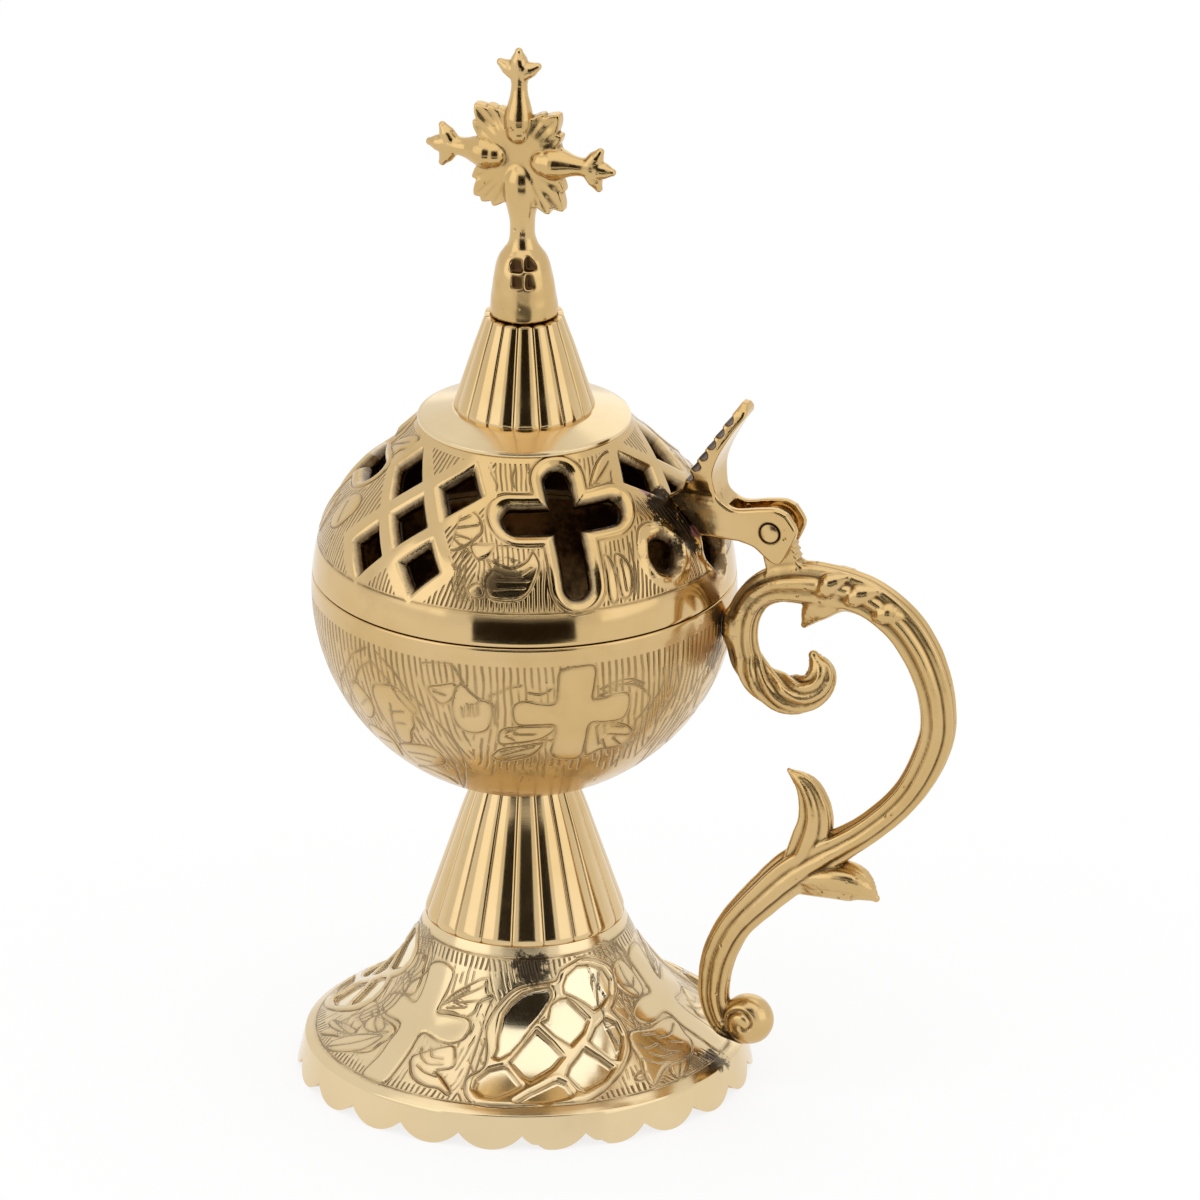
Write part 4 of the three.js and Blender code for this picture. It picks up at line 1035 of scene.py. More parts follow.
# Skirt motifs, in millimetres across and up from the middle of a cross or a lattice
SKIRT_CROSS_OUTLINE = (
    (-2, 36.5), (-1.5, 33), (-1.5, 28.5), (-5, 28.5), (-8, 28), (-10.5, 26.5), (-11, 25), (-10, 23.5),
    (-7.5, 23), (-2, 23), (-1.5, 18.5), (-1, 15), (-1, 10), (2, 9.2), (5.5, 9.7), (5.5, 13.5), (5, 17.5),
    (4.5, 23), (9, 22.5), (11.5, 22.5), (13.5, 23.5), (14, 25), (13.5, 27), (12, 28.5), (8, 28.5), (5, 28.5),
    (5, 33.5), (4.5, 37), (1, 38),
)
SKIRT_LEAVES = (
    (
        (
            (5, 29), (6.5, 32.5), (9, 35), (12, 37), (13.5, 34.5), (15, 33.5), (13, 32), (13, 30),
            (11.5, 28.6), (8.5, 29),
        ),
        (
            ((5.5, 30), (8, 32), (12.4, 35.4)), ((7, 29.6), (10.5, 30.5)), ((8, 31), (12.2, 32.2)),
            ((7.2, 31.8), (9.4, 34.2)),
        ),
    ),
    (
        ((-6.5, 28.8), (-9, 31), (-9.6, 34), (-7.5, 37), (-4.5, 37), (-3, 33), (-3.4, 29.5)),
        (((-5.6, 29.5), (-6.4, 33), (-6.2, 36)), ((-6, 31), (-8, 32.6)), ((-6, 31), (-4.4, 32.4))),
    ),
    (
        (
            (-23, 10), (-21, 14), (-18.5, 17), (-17, 20.5), (-14.5, 23.2), (-9.5, 22.2), (-3, 22), (-1.8, 20),
            (-3, 17.5), (-4, 15), (-7.5, 13), (-10.5, 13), (-16, 13),
        ),
        (
            ((-18, 16.5), (-16.5, 14.5), (-14.5, 14)), ((-15.5, 17), (-14, 15.5), (-11.5, 15)),
            ((-12, 17.5), (-11.5, 16), (-9.5, 15)), ((-15.5, 20), (-15, 18.5), (-12, 18.5)),
            ((-10, 19.5), (-7, 19), (-3.5, 20.2)), ((-12.6, 21.4), (-10, 20.6)), ((-8.6, 17.6), (-6, 16.2)),
        ),
    ),
    (
        (
            (6.5, 18), (8, 15), (10.5, 13), (14, 12), (17, 12), (20, 10.8), (19.5, 12), (16, 14.5),
            (13.5, 16), (16, 17.5), (14, 21), (12, 22),
        ),
        (
            ((6.8, 20), (8.5, 18), (11, 17), (13.5, 17.5)), ((9, 16), (11.5, 15), (14.5, 14.5)),
            ((9, 20.4), (10.4, 18.8), (12.6, 18.8)),
        ),
    ),
)
SKIRT_BUDS = (
    ((22.5, 21.5), (24, 22), (27.5, 21), (28.5, 19), (25, 18), (22.5, 19.5)),
    ((30, 19), (26, 16), (24.5, 12), (26, 9.8), (29, 10.5), (32, 14), (31.6, 17)),
    ((15.5, 13.5), (20, 15.5), (24.2, 16.5), (24.6, 15), (20.5, 13.2), (16.5, 12.2)),
)
LATTICE_RIM = (
    (-20, 13.5), (-19, 15.5), (-15.5, 18), (-14, 22), (-13.5, 26.5), (-12, 29.5), (-9.5, 32.5), (-6.5, 35),
    (-3, 36), (1.5, 36.5), (3, 38.5), (5.5, 39.5), (8, 40), (12, 38.5), (15, 36), (15.5, 32.5), (14, 30),
    (13, 28.5), (15, 25.5), (16, 22), (15.5, 19), (13, 16), (10, 13.5), (6, 11), (2.5, 10), (-2, 10),
    (-10, 9.5), (-18, 9.5), (-20, 11),
)
LATTICE_PANES = (
    (
        (-11.5, 25.5), (-10, 30), (-8, 32.5), (-5.5, 34.5), (-3, 35.3), (0, 35.6), (0.5, 34.6), (0.5, 33.5),
        (-0.5, 32), (-2.5, 29.5), (-4.5, 27.5), (-7, 24.5), (-9.5, 22), (-12, 20.5), (-13, 21), (-12, 23),
    ),
    ((-1, 29), (0, 32), (2, 33), (3.5, 33), (7.5, 28), (6, 25.5), (3, 23), (0, 25.5), (-2.5, 28.5)),
    ((-3.5, 27), (-1, 24.2), (1, 21), (-1.5, 18.5), (-6.5, 15.5), (-8, 16.5), (-10, 20), (-7, 23.4)),
    ((5.5, 22), (8.4, 19.4), (11, 16.5), (8.5, 14), (4, 12.5), (3, 13), (1, 16.5), (2, 18.5)),
    ((11.5, 27.5), (13.5, 26), (14.5, 23), (14, 21), (12.5, 18), (11, 18.5), (8, 22), (7, 23.5), (9, 26)),
    (
        (3, 34), (3, 35.5), (4, 37.5), (6.5, 39), (9.5, 38.5), (12.5, 37), (14, 34.5), (13.5, 32), (11, 30),
        (9, 29.5), (7.5, 31), (5.5, 32.5),
    ),
    (
        (-17.5, 15.5), (-14.5, 18), (-11.5, 19), (-10.5, 18.5), (-9, 15.5), (-8.5, 14.5), (-11, 13),
        (-14.5, 11.5), (-17, 11.5), (-18.5, 13),
    ),
    ((-10.5, 10.5), (-7.5, 12.5), (-2.5, 15), (-1, 15.5), (0.5, 14.5), (1.5, 12), (0.5, 11), (-4.5, 10)),
)


def skirt_ornament(o):
    for k in range(3):
        o.place(SKIRT_CROSS + k * THIRD, math.radians(36))
        o.flow([(15.6, 37.2), (15.2, 31.5), (16.4, 26), (18.2, 20.5), (21.4, 13)], 4, (1.35, 0.1))
        o.flow([(-12, 36.5), (-15, 32), (-17.5, 27), (-19.4, 21.5)], 3, (-1.4, -0.1))
        for outline, veins in SKIRT_LEAVES:
            o.shape(outline, veins)
        o.shape(SKIRT_CROSS_OUTLINE, lift=0.2)
        o.place(SKIRT_LATTICE + k * THIRD, math.radians(58))
        o.flow([(9.6, 41.5), (14.2, 39), (17.4, 34.5), (16.6, 29.5), (18.6, 24), (18, 18)], 4, (1.4, 0.2))
        for outline in SKIRT_BUDS:
            middle = np.mean(outline, axis=0)
            o.shape(outline, [(outline[0], tuple(middle), outline[len(outline) // 2])])
        skirt_lattice(o)


def skirt_lattice(o):
    """An interlaced oval of raised bands round sunk cells, whose lighter colour is a painted highlight."""
    rim = closed(LATTICE_RIM)
    found, points = o.picked(rim, 3.0)
    if not len(found):
        return
    off = outline_distance(points, rim)
    pane = np.full(len(found), FAR)
    for outline in LATTICE_PANES:
        pane = np.minimum(pane, outline_distance(points, np.array(outline, float)))
    o.clear(found[off < 0.5])
    o.cut(found, np.abs(off - 0.3), off - 0.3)
    o.cut(found, np.abs(pane + 0.1) + 0.12, pane + 0.1)
    band = 0.36 * smooth(0.0, 0.6, pane) * smooth(0.4, -0.5, off)
    sunk = -0.55 * smooth(0.15, -0.35, pane)
    # Where the painted highlight lightens the cells
    o.pane[found] = smooth(-0.2, -0.7, pane) * (off < 0)
    o.lift[found] = np.where(off < 0.4, band + sunk, o.lift[found])
    o.ground[found] = np.minimum(o.ground[found], off - 0.5)


def reeded_piece(name, outer, inner, reeds, height, body, node):
    """A cone of convex reeds with a fine cut between two of them, their lower ends rounded off."""
    shape = Turned(np.vstack([outer, inner]), reeds * REED_COLUMNS, REED_FACING)
    radius, z = shape.of(shape.profile).T
    pitch = 2 * math.pi * radius / reeds
    share = 2 * (((shape.angle - REED_FACING) * reeds / (2 * math.pi) + 0.5) % 1.0) - 1
    to_valley = (1 - np.abs(share)) * pitch / 2
    drop = height * radius / outer[0][0] * (1 - np.cos(math.pi * share / 2))
    cut = REED_CUT * smooth(0.28, 0.0, to_valley)
    to_end = np.clip((z - outer[0][1]) / (0.9 + 0.5 * (1 - share**2)), 0, 1)
    rounded = 0.55 * (1 - np.sqrt(1 - (1 - to_end) ** 2))
    outward = shape.row < len(outer) - 0.5
    lean = REED_LEAN * smooth(outer[-1][1] - 8, outer[-1][1], z)
    lift = np.where(outward, -(drop + cut + rounded + lean), 0)
    # Darker in the fine cuts between the reeds, partly as painted shade
    values = {"crease_tarnish_and_shade": np.where(outward, smooth(0.3, 0.02, to_valley) * 0.55, 0)}
    # The reeds are lightened slightly as a painted highlight
    make_piece(
        name, shape.points(lift), shape.faces(True), body, "polished_brass",
        brass(name, 0.09, highlight_share=0.1), node, values, crease=50,
    )


def reed_bore(wall, high, foot):
    """The inside of a reeded cone: its bore under the top, the space within and the inner edge of its foot.
    """
    return [(BORE_RADIUS, high), (BORE_RADIUS, high - 3), (wall, high - 3), foot]


class CENSER_OT_stem(bpy.types.Operator):
    """Add the reeded stem"""

    bl_idname = "censer.stem"
    bl_label = "Stem"

    def execute(self, context):
        low, high = STEM_LOW[2], STEM_HIGH[2]
        outer = even([(STEM_BASE_RADIUS, low), (STEM_TOP_RADIUS, high)], 0.45)
        inner = reed_bore(STEM_TOP_RADIUS - REED_WALL, high, (STEM_BASE_RADIUS - REED_WALL, low))
        reeded_piece("stem_brass", outer, inner, sizes().stem_reeds, sizes().reed_height, "standing", "stem")
        return {"FINISHED"}


def bowl_turn(radius, height):
    return math.asin((height - BOWL_CENTRE) / radius)


def bowl_round(radius, first, last, count):
    """A stretch of a circle about the bowl's centre, as radius and height."""
    turn = np.linspace(first, last, count)
    return np.stack([radius * np.cos(turn), BOWL_CENTRE + radius * np.sin(turn)], 1)


class CENSER_OT_bowl(bpy.types.Operator):
    """Add the engraved bowl and its sooty lining"""

    bl_idname = "censer.bowl"
    bl_label = "Bowl"

    def execute(self, context):
        low, rim = BOWL_LOW[2], BOWL_HIGH[2]
        first, last = bowl_turn(BOWL_RADIUS, low), bowl_turn(BOWL_RADIUS, rim - 0.3)
        count = int(BOWL_RADIUS * (last - first) / (sizes().relief_step * 1.05))
        outer = bowl_round(BOWL_RADIUS, first, last, count)
        edge = outer[-1][0]
        inner_edge = edge - BOWL_WALL
        lip = [(edge - 0.12, rim - 0.08), (edge - 0.4, rim), (inner_edge + 0.3, rim), (inner_edge, rim - 0.3)]
        shape = Turned(np.vstack([[(BORE_RADIUS, low)], outer, lip]), BOWL_COLUMNS)
        up = shape.length_up() - shape.up[1]
        outward = (shape.row > 0.5) & (shape.row < len(outer) + 0.5)
        ornament = Ornament(shape.angle, shape.radius(), np.where(outward, up, -50.0))
        ornament.hatch[:] = 0.62 * smooth(20, 33, up)
        top = shape.up[len(outer)] - shape.up[1] + 0.3
        ornament.ticks(top - 7.2, top - 3.6, 0.9)
        bowl_ornament(ornament)
        clear = np.minimum(up - 4.0, top - 3.4 - up)
        ornament.ground = np.where(outward, np.minimum(ornament.ground, clear), -FAR)
        make_piece(
            "bowl_brass", shape.points(ornament.lift * outward), shape.faces(), "standing", "engraved_brass",
            brass("bowl_brass", 0.14, engraved=sizes().hatch_pitch * 1.2, heat_and_shade="bowl", ink=0.55), "bowl",
            ornament.values(), sector_across(shape, thirds(BOWL_CROSS, BOWL_PANEL), 0.06),
        )
        inner = BOWL_RADIUS - BOWL_WALL
        floor = low + BOWL_FLOOR
        curve = bowl_round(inner, bowl_turn(inner, rim - 0.3), bowl_turn(inner, floor), 60)
        lining = np.vstack([curve, [(BORE_RADIUS, floor), (BORE_RADIUS, low)]])
        material = sooty("bowl_lining", 0.35)
        turned_piece("bowl_lining", lining, BOWL_LINING_COLUMNS, "standing", "sooted_brass", material, "bowl")
        return {"FINISHED"}


# Bowl motifs, in millimetres across and up from the middle of a cross or of a leaf panel
BOWL_CROSS_OUTLINE = (
    (-3, 54), (-3.5, 50), (-4, 46.8), (-7, 46.8), (-10, 47.4), (-12, 46.2), (-12.2, 44), (-11, 41.6),
    (-7, 41.4), (-3.6, 41), (-3.5, 36.5), (-3.4, 32.4), (-0.5, 30.6), (2.6, 31), (3.1, 36), (3.6, 40.8),
    (7, 40.6), (10.5, 40.7), (11.8, 43), (11.6, 46.6), (8.5, 47.3), (6, 46.8), (3.8, 47), (4, 50.5),
    (4, 54.2), (0.5, 54.6),
)
BOWL_LEAVES = (
    (
        (
            (-3.5, 40.6), (-7, 41.1), (-11.5, 40.8), (-14, 40), (-14.6, 38), (-14, 36), (-11, 36.4), (-8, 37),
            (-5.5, 38),
        ),
        (((-11.6, 39), (-7.5, 39)), ((-13, 38.2), (-11.6, 37.4)), ((-13, 39.4), (-11.4, 40.2))),
    ),
    (
        (
            (-6, 36.2), (-10, 35.4), (-13.5, 34.4), (-15, 32), (-13.5, 30.6), (-10.5, 31), (-8, 32),
            (-6.2, 34.4),
        ),
        (((-13, 32.4), (-10, 34), (-7.5, 35.2)), ((-12, 31.4), (-9, 32.8)), ((-13.6, 33.4), (-11, 34.8))),
    ),
    (
        (
            (-22.5, 50.4), (-24, 49.5), (-24.6, 47), (-24.5, 44), (-23.5, 40.8), (-21.5, 39), (-19, 38.8),
            (-17, 40), (-16.4, 43), (-16.5, 46), (-17.6, 47.2), (-19, 47.5), (-21, 49),
        ),
        (
            ((-21.5, 46), (-21, 43.5)), ((-20.5, 46), (-20, 43.5)), ((-19.5, 46.5), (-19.2, 44)),
            ((-22.6, 45), (-22.2, 43)),
        ),
    ),
    (
        ((-30, 48.5), (-27.5, 49.5), (-24.4, 50.4), (-24.2, 49), (-25, 46.5), (-27, 45.3), (-28.8, 46.6)),
        (((-28.6, 48), (-26.4, 47.6)),),
    ),
    (
        (
            (3.5, 40.3), (5.5, 40.6), (8.5, 40), (11.5, 38.6), (13.5, 36), (13, 33), (10, 32), (6.5, 32.5),
            (3.6, 31.4),
        ),
        (
            ((6.6, 40), (7, 37.8)), ((8.5, 39), (11, 38.2)), ((8, 37), (12.5, 35.5)), ((9, 35.5), (11, 33)),
            ((5, 39.6), (6, 34.5)), ((6.8, 35.6), (7.6, 33)),
        ),
    ),
)
BOWL_STROKES = (
    ((-7, 41), (-7, 38.5), (-5.5, 37.2), (-3.4, 37)),
    ((-31, 54), (-28, 54.5), (-25, 54.6), (-23.5, 52.5), (-22.5, 51)),
    ((-17, 48.5), (-15, 49.5), (-13.5, 50.5), (-11, 51)),
    (
        (5, 47.4), (7.5, 48.4), (9.5, 49), (13, 48.5), (15.5, 46.5), (17, 44), (15.5, 41), (14, 39), (14, 36),
        (11.4, 32),
    ),
    ((5.4, 49), (8.4, 50), (12, 50), (15, 48.4)),
    ((20, 50.5), (20, 46.5), (18.2, 43.5), (16.6, 40), (15.4, 35), (12.8, 30.5), (10.5, 25)),
    ((24, 49.5), (24.5, 44.5), (22, 41), (20, 37.5), (19, 32), (16, 26)),
    ((-15.6, 47), (-15.8, 44), (-15.4, 41.6)), ((-9.4, 49.4), (-7, 49), (-5, 50)),
)
PANEL_SHAPES = (
    (
        (
            (-1, 42.4), (0, 45.5), (3.5, 46.6), (6.5, 46.5), (9.5, 43.6), (10, 42), (8.5, 40), (8, 37.5),
            (6.5, 35.5), (5, 32), (2.4, 31.4), (0.6, 35),
        ),
        (((3.5, 42), (2.2, 36), (1.8, 32.6)), ((3, 40), (6.4, 41)), ((2.6, 37), (5.6, 37.6))),
    ),
    (
        ((0.5, 29.6), (5.5, 31.5), (9.5, 32), (11, 30), (10.5, 27), (7, 24.6), (3, 23), (1, 23.4), (0.2, 26)),
        (((2, 27.6), (6, 28.6), (9, 28.6)), ((3, 26), (6.6, 26.2))),
    ),
    (
        ((-3, 41.5), (-6.5, 44), (-9, 42.6), (-8.4, 38), (-7, 35), (-4.5, 35.6), (-2.4, 38.6)),
        (((-4, 40.6), (-6.4, 38.4)),),
    ),
    (
        ((-1, 30), (-4.4, 32.4), (-8.4, 31.6), (-9.4, 27.6), (-6, 24.6), (-2.4, 24)),
        (((-2.4, 29), (-6.6, 28.4)),),
    ),
    (((0, 21), (3.6, 22), (7, 19.6), (6.4, 15.6), (2.6, 14.4), (0.4, 17)), (((1.6, 19.6), (4.8, 17.4)),)),
)
PANEL_BORDER = (
    (1.5, 53.5), (6, 50.5), (8.5, 47), (11.5, 44), (14, 40.5), (16, 36), (16, 30.5), (14, 25.5), (9.6, 18),
    (5, 12),
)


def bowl_ornament(o):
    for k in range(3):
        o.place(BOWL_CROSS + k * THIRD, math.radians(44))
        o.strokes(BOWL_STROKES)
        for outline, veins in BOWL_LEAVES:
            o.shape(outline, veins, 0.1)
        o.shape(BOWL_CROSS_OUTLINE, lift=0.12)
        o.place(BOWL_PANEL + k * THIRD, math.radians(30))
        for outline, veins in PANEL_SHAPES:
            o.shape(outline, veins, 0.1)
        for side in (1, -1):
            o.place(BOWL_PANEL + k * THIRD, math.radians(30), side)
            o.strokes([PANEL_BORDER, np.array(PANEL_BORDER) * (0.86, 1) - (1.0, 2.6)])


class CENSER_OT_lid(bpy.types.Operator):
    """Add the pierced, bevelled and engraved lid"""

    bl_idname = "censer.lid"
    bl_label = "Lid"

    def execute(self, context):
        rim = LID_LOW[2]
        step = sizes().relief_step * 0.9
        inside_edge = RIM_RADIUS - LID_WALL
        start = [
            (inside_edge, rim + 0.3), (inside_edge + 0.3, rim), (RIM_RADIUS - 0.35, rim),
            (RIM_RADIUS - 0.08, rim + 0.1),
        ]
        top = [(18.0, LID_HIGH[2]), (BORE_RADIUS, LID_HIGH[2])]
        shape = Turned(np.vstack([start, even(lid_profile(), step)[1:], top]), LID_COLUMNS)
        first_up = shape.up[len(start)] - step
        hole, _ = piercings(shape, first_up)
        faces, rim_edges = clip_grid(shape, hole)
        hole, cross = piercings(shape, first_up)
        up = shape.length_up() - first_up
        ornament = Ornament(shape.angle, shape.radius(), up)
        total = shape.up[-3] - first_up
        ornament.hatch[:] = 0.8
        ornament.ticks(LID_BAND + 0.2, LID_BAND + 1.5)
        lid_ornament(ornament)
        border = BEVEL_WIDTH + np.where(cross, CROSS_BORDER, LATTICE_BORDER)
        ornament.clear(hole < border)
        ornament.level(np.where(cross, hole - border, FAR))
        clear = np.minimum(up - LID_BAND, total - 1.0 - up)
        ornament.ground = np.minimum(np.minimum(ornament.ground, clear), hole - border - 0.2)
        ornament.level(up, LID_BAND)
        ornament.clear((hole < BEVEL_WIDTH + 0.3) | (up < LID_BAND - 1))
        lift = bevel(hole, cross) + ornament.lift * smooth(BEVEL_WIDTH + 0.5, border + 0.4, hole)
        lift = lift + melted_rims(shape, first_up)
        points = shape.points(lift)
        lower = shape.points(np.full(len(lift), -LID_WALL - 0.05))
        count = len(points)
        edge = np.array(rim_edges)
        walls = np.stack([edge[:, 1], edge[:, 0], edge[:, 0] + count, edge[:, 1] + count], 1)
        values = ornament.values()
        # The walls of the openings: grime on the bevels, and nearly black painted shade on the cut walls
        values["wall"] = smooth(BEVEL_WIDTH, 0.2, hole)
        both = {key: np.r_[array, array] for key, array in values.items()}
        both["wall"][count:] = 1.0
        all_faces = faces + [list(w) for w in walls]
        points, all_faces, used = used_only(np.vstack([points, lower]), all_faces)
        both = {key: array[used] for key, array in both.items()}
        base = sector_across(shape, thirds(FIRST_CROSS) + lattice_centres(), -0.12)
        make_piece(
            "lid_brass", points, all_faces, "lid", "engraved_brass",
            brass("lid_brass", 0.08, engraved=sizes().hatch_pitch * 0.84, heat_and_shade="lid", pierced=True), "lid",
            both, lambda corner, face: base(used[corner] % count, face), crease=40,
        )
        lid_lining()
        return {"FINISHED"}


def lattice_centres():
    return [FIRST_CROSS + THIRD / 2 + k * THIRD + (0 if k else HINGE_LATTICE_TURN) for k in range(3)]


def round_holes(shape, first_up):
    """Each round hole's turn, and every point's place across and up from its middle."""
    radius, up = shape.radius(), shape.length_up() - first_up
    for turn, centre_up in ROUND_HOLES:
        yield turn, radius * wrap(shape.angle - math.radians(turn)), up - centre_up


def piercings(shape, first_up):
    """Distance from the nearest opening's inner edge, negative inside it, and where that is a cross."""
    radius, up = shape.radius(), shape.length_up() - first_up
    crosses = np.full(len(radius), FAR)
    for centre in thirds(FIRST_CROSS):
        x = np.abs(radius * wrap(shape.angle - centre))
        y = up - CROSS_CENTRE_UP
        post = np.hypot(x, y - np.clip(y, CROSS_HALF - CROSS_FOOT, CROSS_TOP - CROSS_HALF))
        bar = np.hypot(x - np.clip(x, 0, CROSS_ARM - CROSS_HALF), y)
        crosses = np.minimum(crosses, np.minimum(post, bar) - CROSS_HALF + BEVEL_WIDTH - CROSS_EASE)
    others = np.full(len(radius), FAR)
    slope = math.hypot(1 / LATTICE_STEP[0], 1 / LATTICE_STEP[1])
    for k, centre in enumerate(lattice_centres()):
        x = radius * wrap(shape.angle - centre)
        for i, j in LATTICE_CELLS if k else LATTICE_CELLS[:3]:
            dx, dy = x - i * LATTICE_STEP[0], up - LATTICE_UP - j * LATTICE_STEP[1]
            cell = (np.abs(dx) / LATTICE_STEP[0] + np.abs(dy) / LATTICE_STEP[1] - 1) / slope
            others = np.minimum(others, cell + LATTICE_BAR / 2 + BEVEL_WIDTH)
    for _, x, y in round_holes(shape, first_up):
        others = np.minimum(others, np.hypot(x, y) - ROUND_HOLE_RADIUS + BEVEL_WIDTH)
    return np.minimum(crosses, others), crosses < others


def bevel(hole, cross):
    """Depth of the slopes round the openings, with a raised border round the crosses."""
    down = -BEVEL_DEPTH * (1 - np.clip(hole / BEVEL_WIDTH, 0, 1)) ** BEVEL_CURVE
    across = np.clip((hole - BEVEL_WIDTH + 0.3) / (CROSS_BORDER + 0.3), 0, 1)
    return down + np.where(cross, BORDER_RISE, 0.0) * np.sin(math.pi * across)


def melted_rims(shape, first_up):
    """Lumpy rims where the two round holes were drilled through hot, brazed metal."""
    total = np.zeros(len(shape.angle))
    for turn, x, y in round_holes(shape, first_up):
        reach, around = np.hypot(x, y), np.arctan2(y, x)
        middle = ROUND_HOLE_RADIUS + 0.1 + 0.35 * np.sin(3 * around + turn) + 0.2 * np.sin(7 * around)
        rise = 0.45 + 0.22 * np.sin(5 * around + 1.0) + 0.15 * np.sin(2 * around)
        total = np.maximum(total, rise * np.exp(-(((reach - middle) / 0.95) ** 2)))
    return total


# Lid motifs, in millimetres across and up from the middle of a cross
LID_SHAPES = (
    (
        (
            (-17.5, 17.5), (-17, 15.5), (-18.5, 13.5), (-18.6, 10.8), (-17.5, 9.6), (-15, 9.4), (-12, 9.8),
            (-10, 11.4), (-8.4, 14), (-7.2, 16.6), (-8, 19.3), (-9.4, 17.6), (-11, 16.5), (-13, 16),
            (-15, 16.5),
        ),
        (
            ((-16, 15.2), (-14, 14.5), (-11.5, 14.5), (-9, 16)), ((-16.5, 13.4), (-10, 13.4)),
            ((-16.8, 11.5), (-13.5, 11.9), (-11, 12)),
        ),
    ),
    (((-21.5, 12), (-20, 12.5), (-19.2, 11), (-19.6, 10), (-21.5, 9.9), (-22.5, 11)), ()),
    (
        (
            (-27.5, 24), (-24, 26), (-19.5, 27.4), (-17.6, 26.5), (-17.4, 23.6), (-19.4, 21.4), (-22, 19.6),
            (-25, 18.6), (-26.6, 20.6),
        ),
        (
            ((-25, 22.8), (-18, 24.5)), ((-24.5, 22.2), (-20.5, 21.5)), ((-24.4, 21.6), (-22.5, 19.8)),
            ((-24, 24), (-19.5, 26.2)),
        ),
    ),
    (((-19.5, 17.5), (-20.4, 20.2), (-17, 20.6), (-15.5, 20.8), (-17, 18.4)), ()),
    (((6, 17.2), (6, 13.5), (6, 9), (7, 7.4), (8, 8.6), (8, 13), (7.2, 16.6)), ()),
    (((8.6, 17), (8.4, 12), (9, 8.4), (10.8, 8.4), (11.6, 12.5), (10.6, 15.8)), (((9.6, 15.6), (10, 9.6)),)),
    (
        ((6.4, 31.5), (9, 36.4), (12.6, 38), (14.4, 35.4), (12, 33.6), (11.4, 31.4)),
        (((7.6, 32.4), (11.8, 35.8)),),
    ),
    (
        ((15, 20.6), (18.6, 21.4), (21, 18.6), (20.4, 14), (17, 12.4), (14.4, 15.4)),
        (((16, 18.6), (19, 14.6)),),
    ),
)
LID_STROKES = (
    ((-14.5, 20.5), (-6, 20.5)), ((-8, 37.5), (-9, 35.5), (-9, 33.5)), ((-5.2, 38), (-5.2, 35.5), (-5.2, 34)),
    ((-27, 21.5), (-26, 18), (-25.5, 15)), ((-21.5, 19), (-22.5, 18), (-22.5, 17), (-21, 18.5)),
    ((-13.6, 37), (-12.4, 33.6), (-13.6, 31.4)), ((-16.4, 34.6), (-14.6, 33), (-14.8, 31)),
    ((12.4, 18.4), (12.6, 13), (12, 8.6)),
)


def lid_ornament(o):
    for centre in thirds(FIRST_CROSS):
        o.place(centre, math.radians(40))
        o.flow([(-26.6, 31), (-23.4, 34.6)], 3, (1.6, 1.5))
        o.flow([(-24.6, 15.6), (-25.4, 11.6), (-24.6, 9)], 3, (1.2, 0.1))
        o.strokes(LID_STROKES)
        for outline, veins in LID_SHAPES:
            o.shape(outline, veins, 0.18)


def lid_lining():
    """The inside of the lid, pierced in line with the outside."""
    dome = even(lid_profile(), 1.0)
    shape = Turned(dome, LID_LINING_COLUMNS)
    faces, _ = clip_grid(shape, piercings(shape, 0)[0])
    inner = shape.points(np.full(len(shape.angle), -LID_WALL))
    points, faces, _ = used_only(inner, [f[::-1] for f in faces])
    # Darker than the bowl's lining: partly smoke, partly painted shade
    material = sooty("lid_lining", 1.1)
    make_piece("lid_lining", points, faces, "lid", "sooted_brass", material, "lid")
    radius, height = behind(dome, LID_WALL)[-1]
    top = [(BORE_RADIUS, height), (radius, height)]
    turned_piece("lid_lining_top", top, 120, "lid", "sooted_brass", material, "lid")


class CENSER_OT_spire(bpy.types.Operator):
    """Add the collar and the reeded spire"""

    bl_idname = "censer.spire"
    bl_label = "Spire"

    def execute(self, context):
        low, high = SPIRE_LOW[2], SPIRE_HIGH[2]
        base = low + COLLAR_RISE
        edge = COLLAR_RADIUS
        rim = [
            (BORE_RADIUS, low), (edge - 0.5, low), (edge - 0.1, low + 0.12), (edge, low + 0.45),
            (edge - 0.12, low + COLLAR_EDGE - 0.05), (edge - 0.5, low + COLLAR_EDGE + 0.12),
        ]
        slope = even([(edge - 0.9, low + COLLAR_EDGE + 0.22), (SPIRE_BASE_RADIUS - 0.6, base)], 0.8)
        # The collar is lightened as a painted highlight
        turned_piece(
            "spire_collar", np.vstack([rim, slope, [(SPIRE_BASE_RADIUS - 3, base)]]), COLLAR_COLUMNS, "lid",
            "polished_brass", brass("spire_collar", 0.13, highlight_share=0.4), "spire", crease=40,
        )
        outer = even([(SPIRE_BASE_RADIUS, base - 0.2), (SPIRE_TOP_RADIUS, high)], 0.4)
        inner = reed_bore(SPIRE_TOP_RADIUS - REED_WALL, high, (SPIRE_BASE_RADIUS - 3, base - 0.2))
        height = sizes().reed_height * SPIRE_REED_SHARE
        reeded_piece("spire_reeds", outer, inner, sizes().spire_reeds, height, "lid", "spire")
        return {"FINISHED"}


# Cast pieces: the spacing of their skins, and the finial's forms measured from its foot
FINE_SKIN = 0.26
HANDLE_SKIN = 0.34
BELL_PROFILE = (
    (0, 6.85), (1.2, 6.8), (4, 6.5), (8, 5.9), (10.6, 5.35), (12.2, 4.75), (13.4, 3.9), (14.6, 3.1),
    (16.4, 2.6), (18.4, 2.5), (20.4, 2.65), (22.6, 3.1), (25, 3.6), (27.4, 3.75), (29.6, 3.35), (31.4, 2.3),
    (32.6, 0.6), (33.4, -2),
)
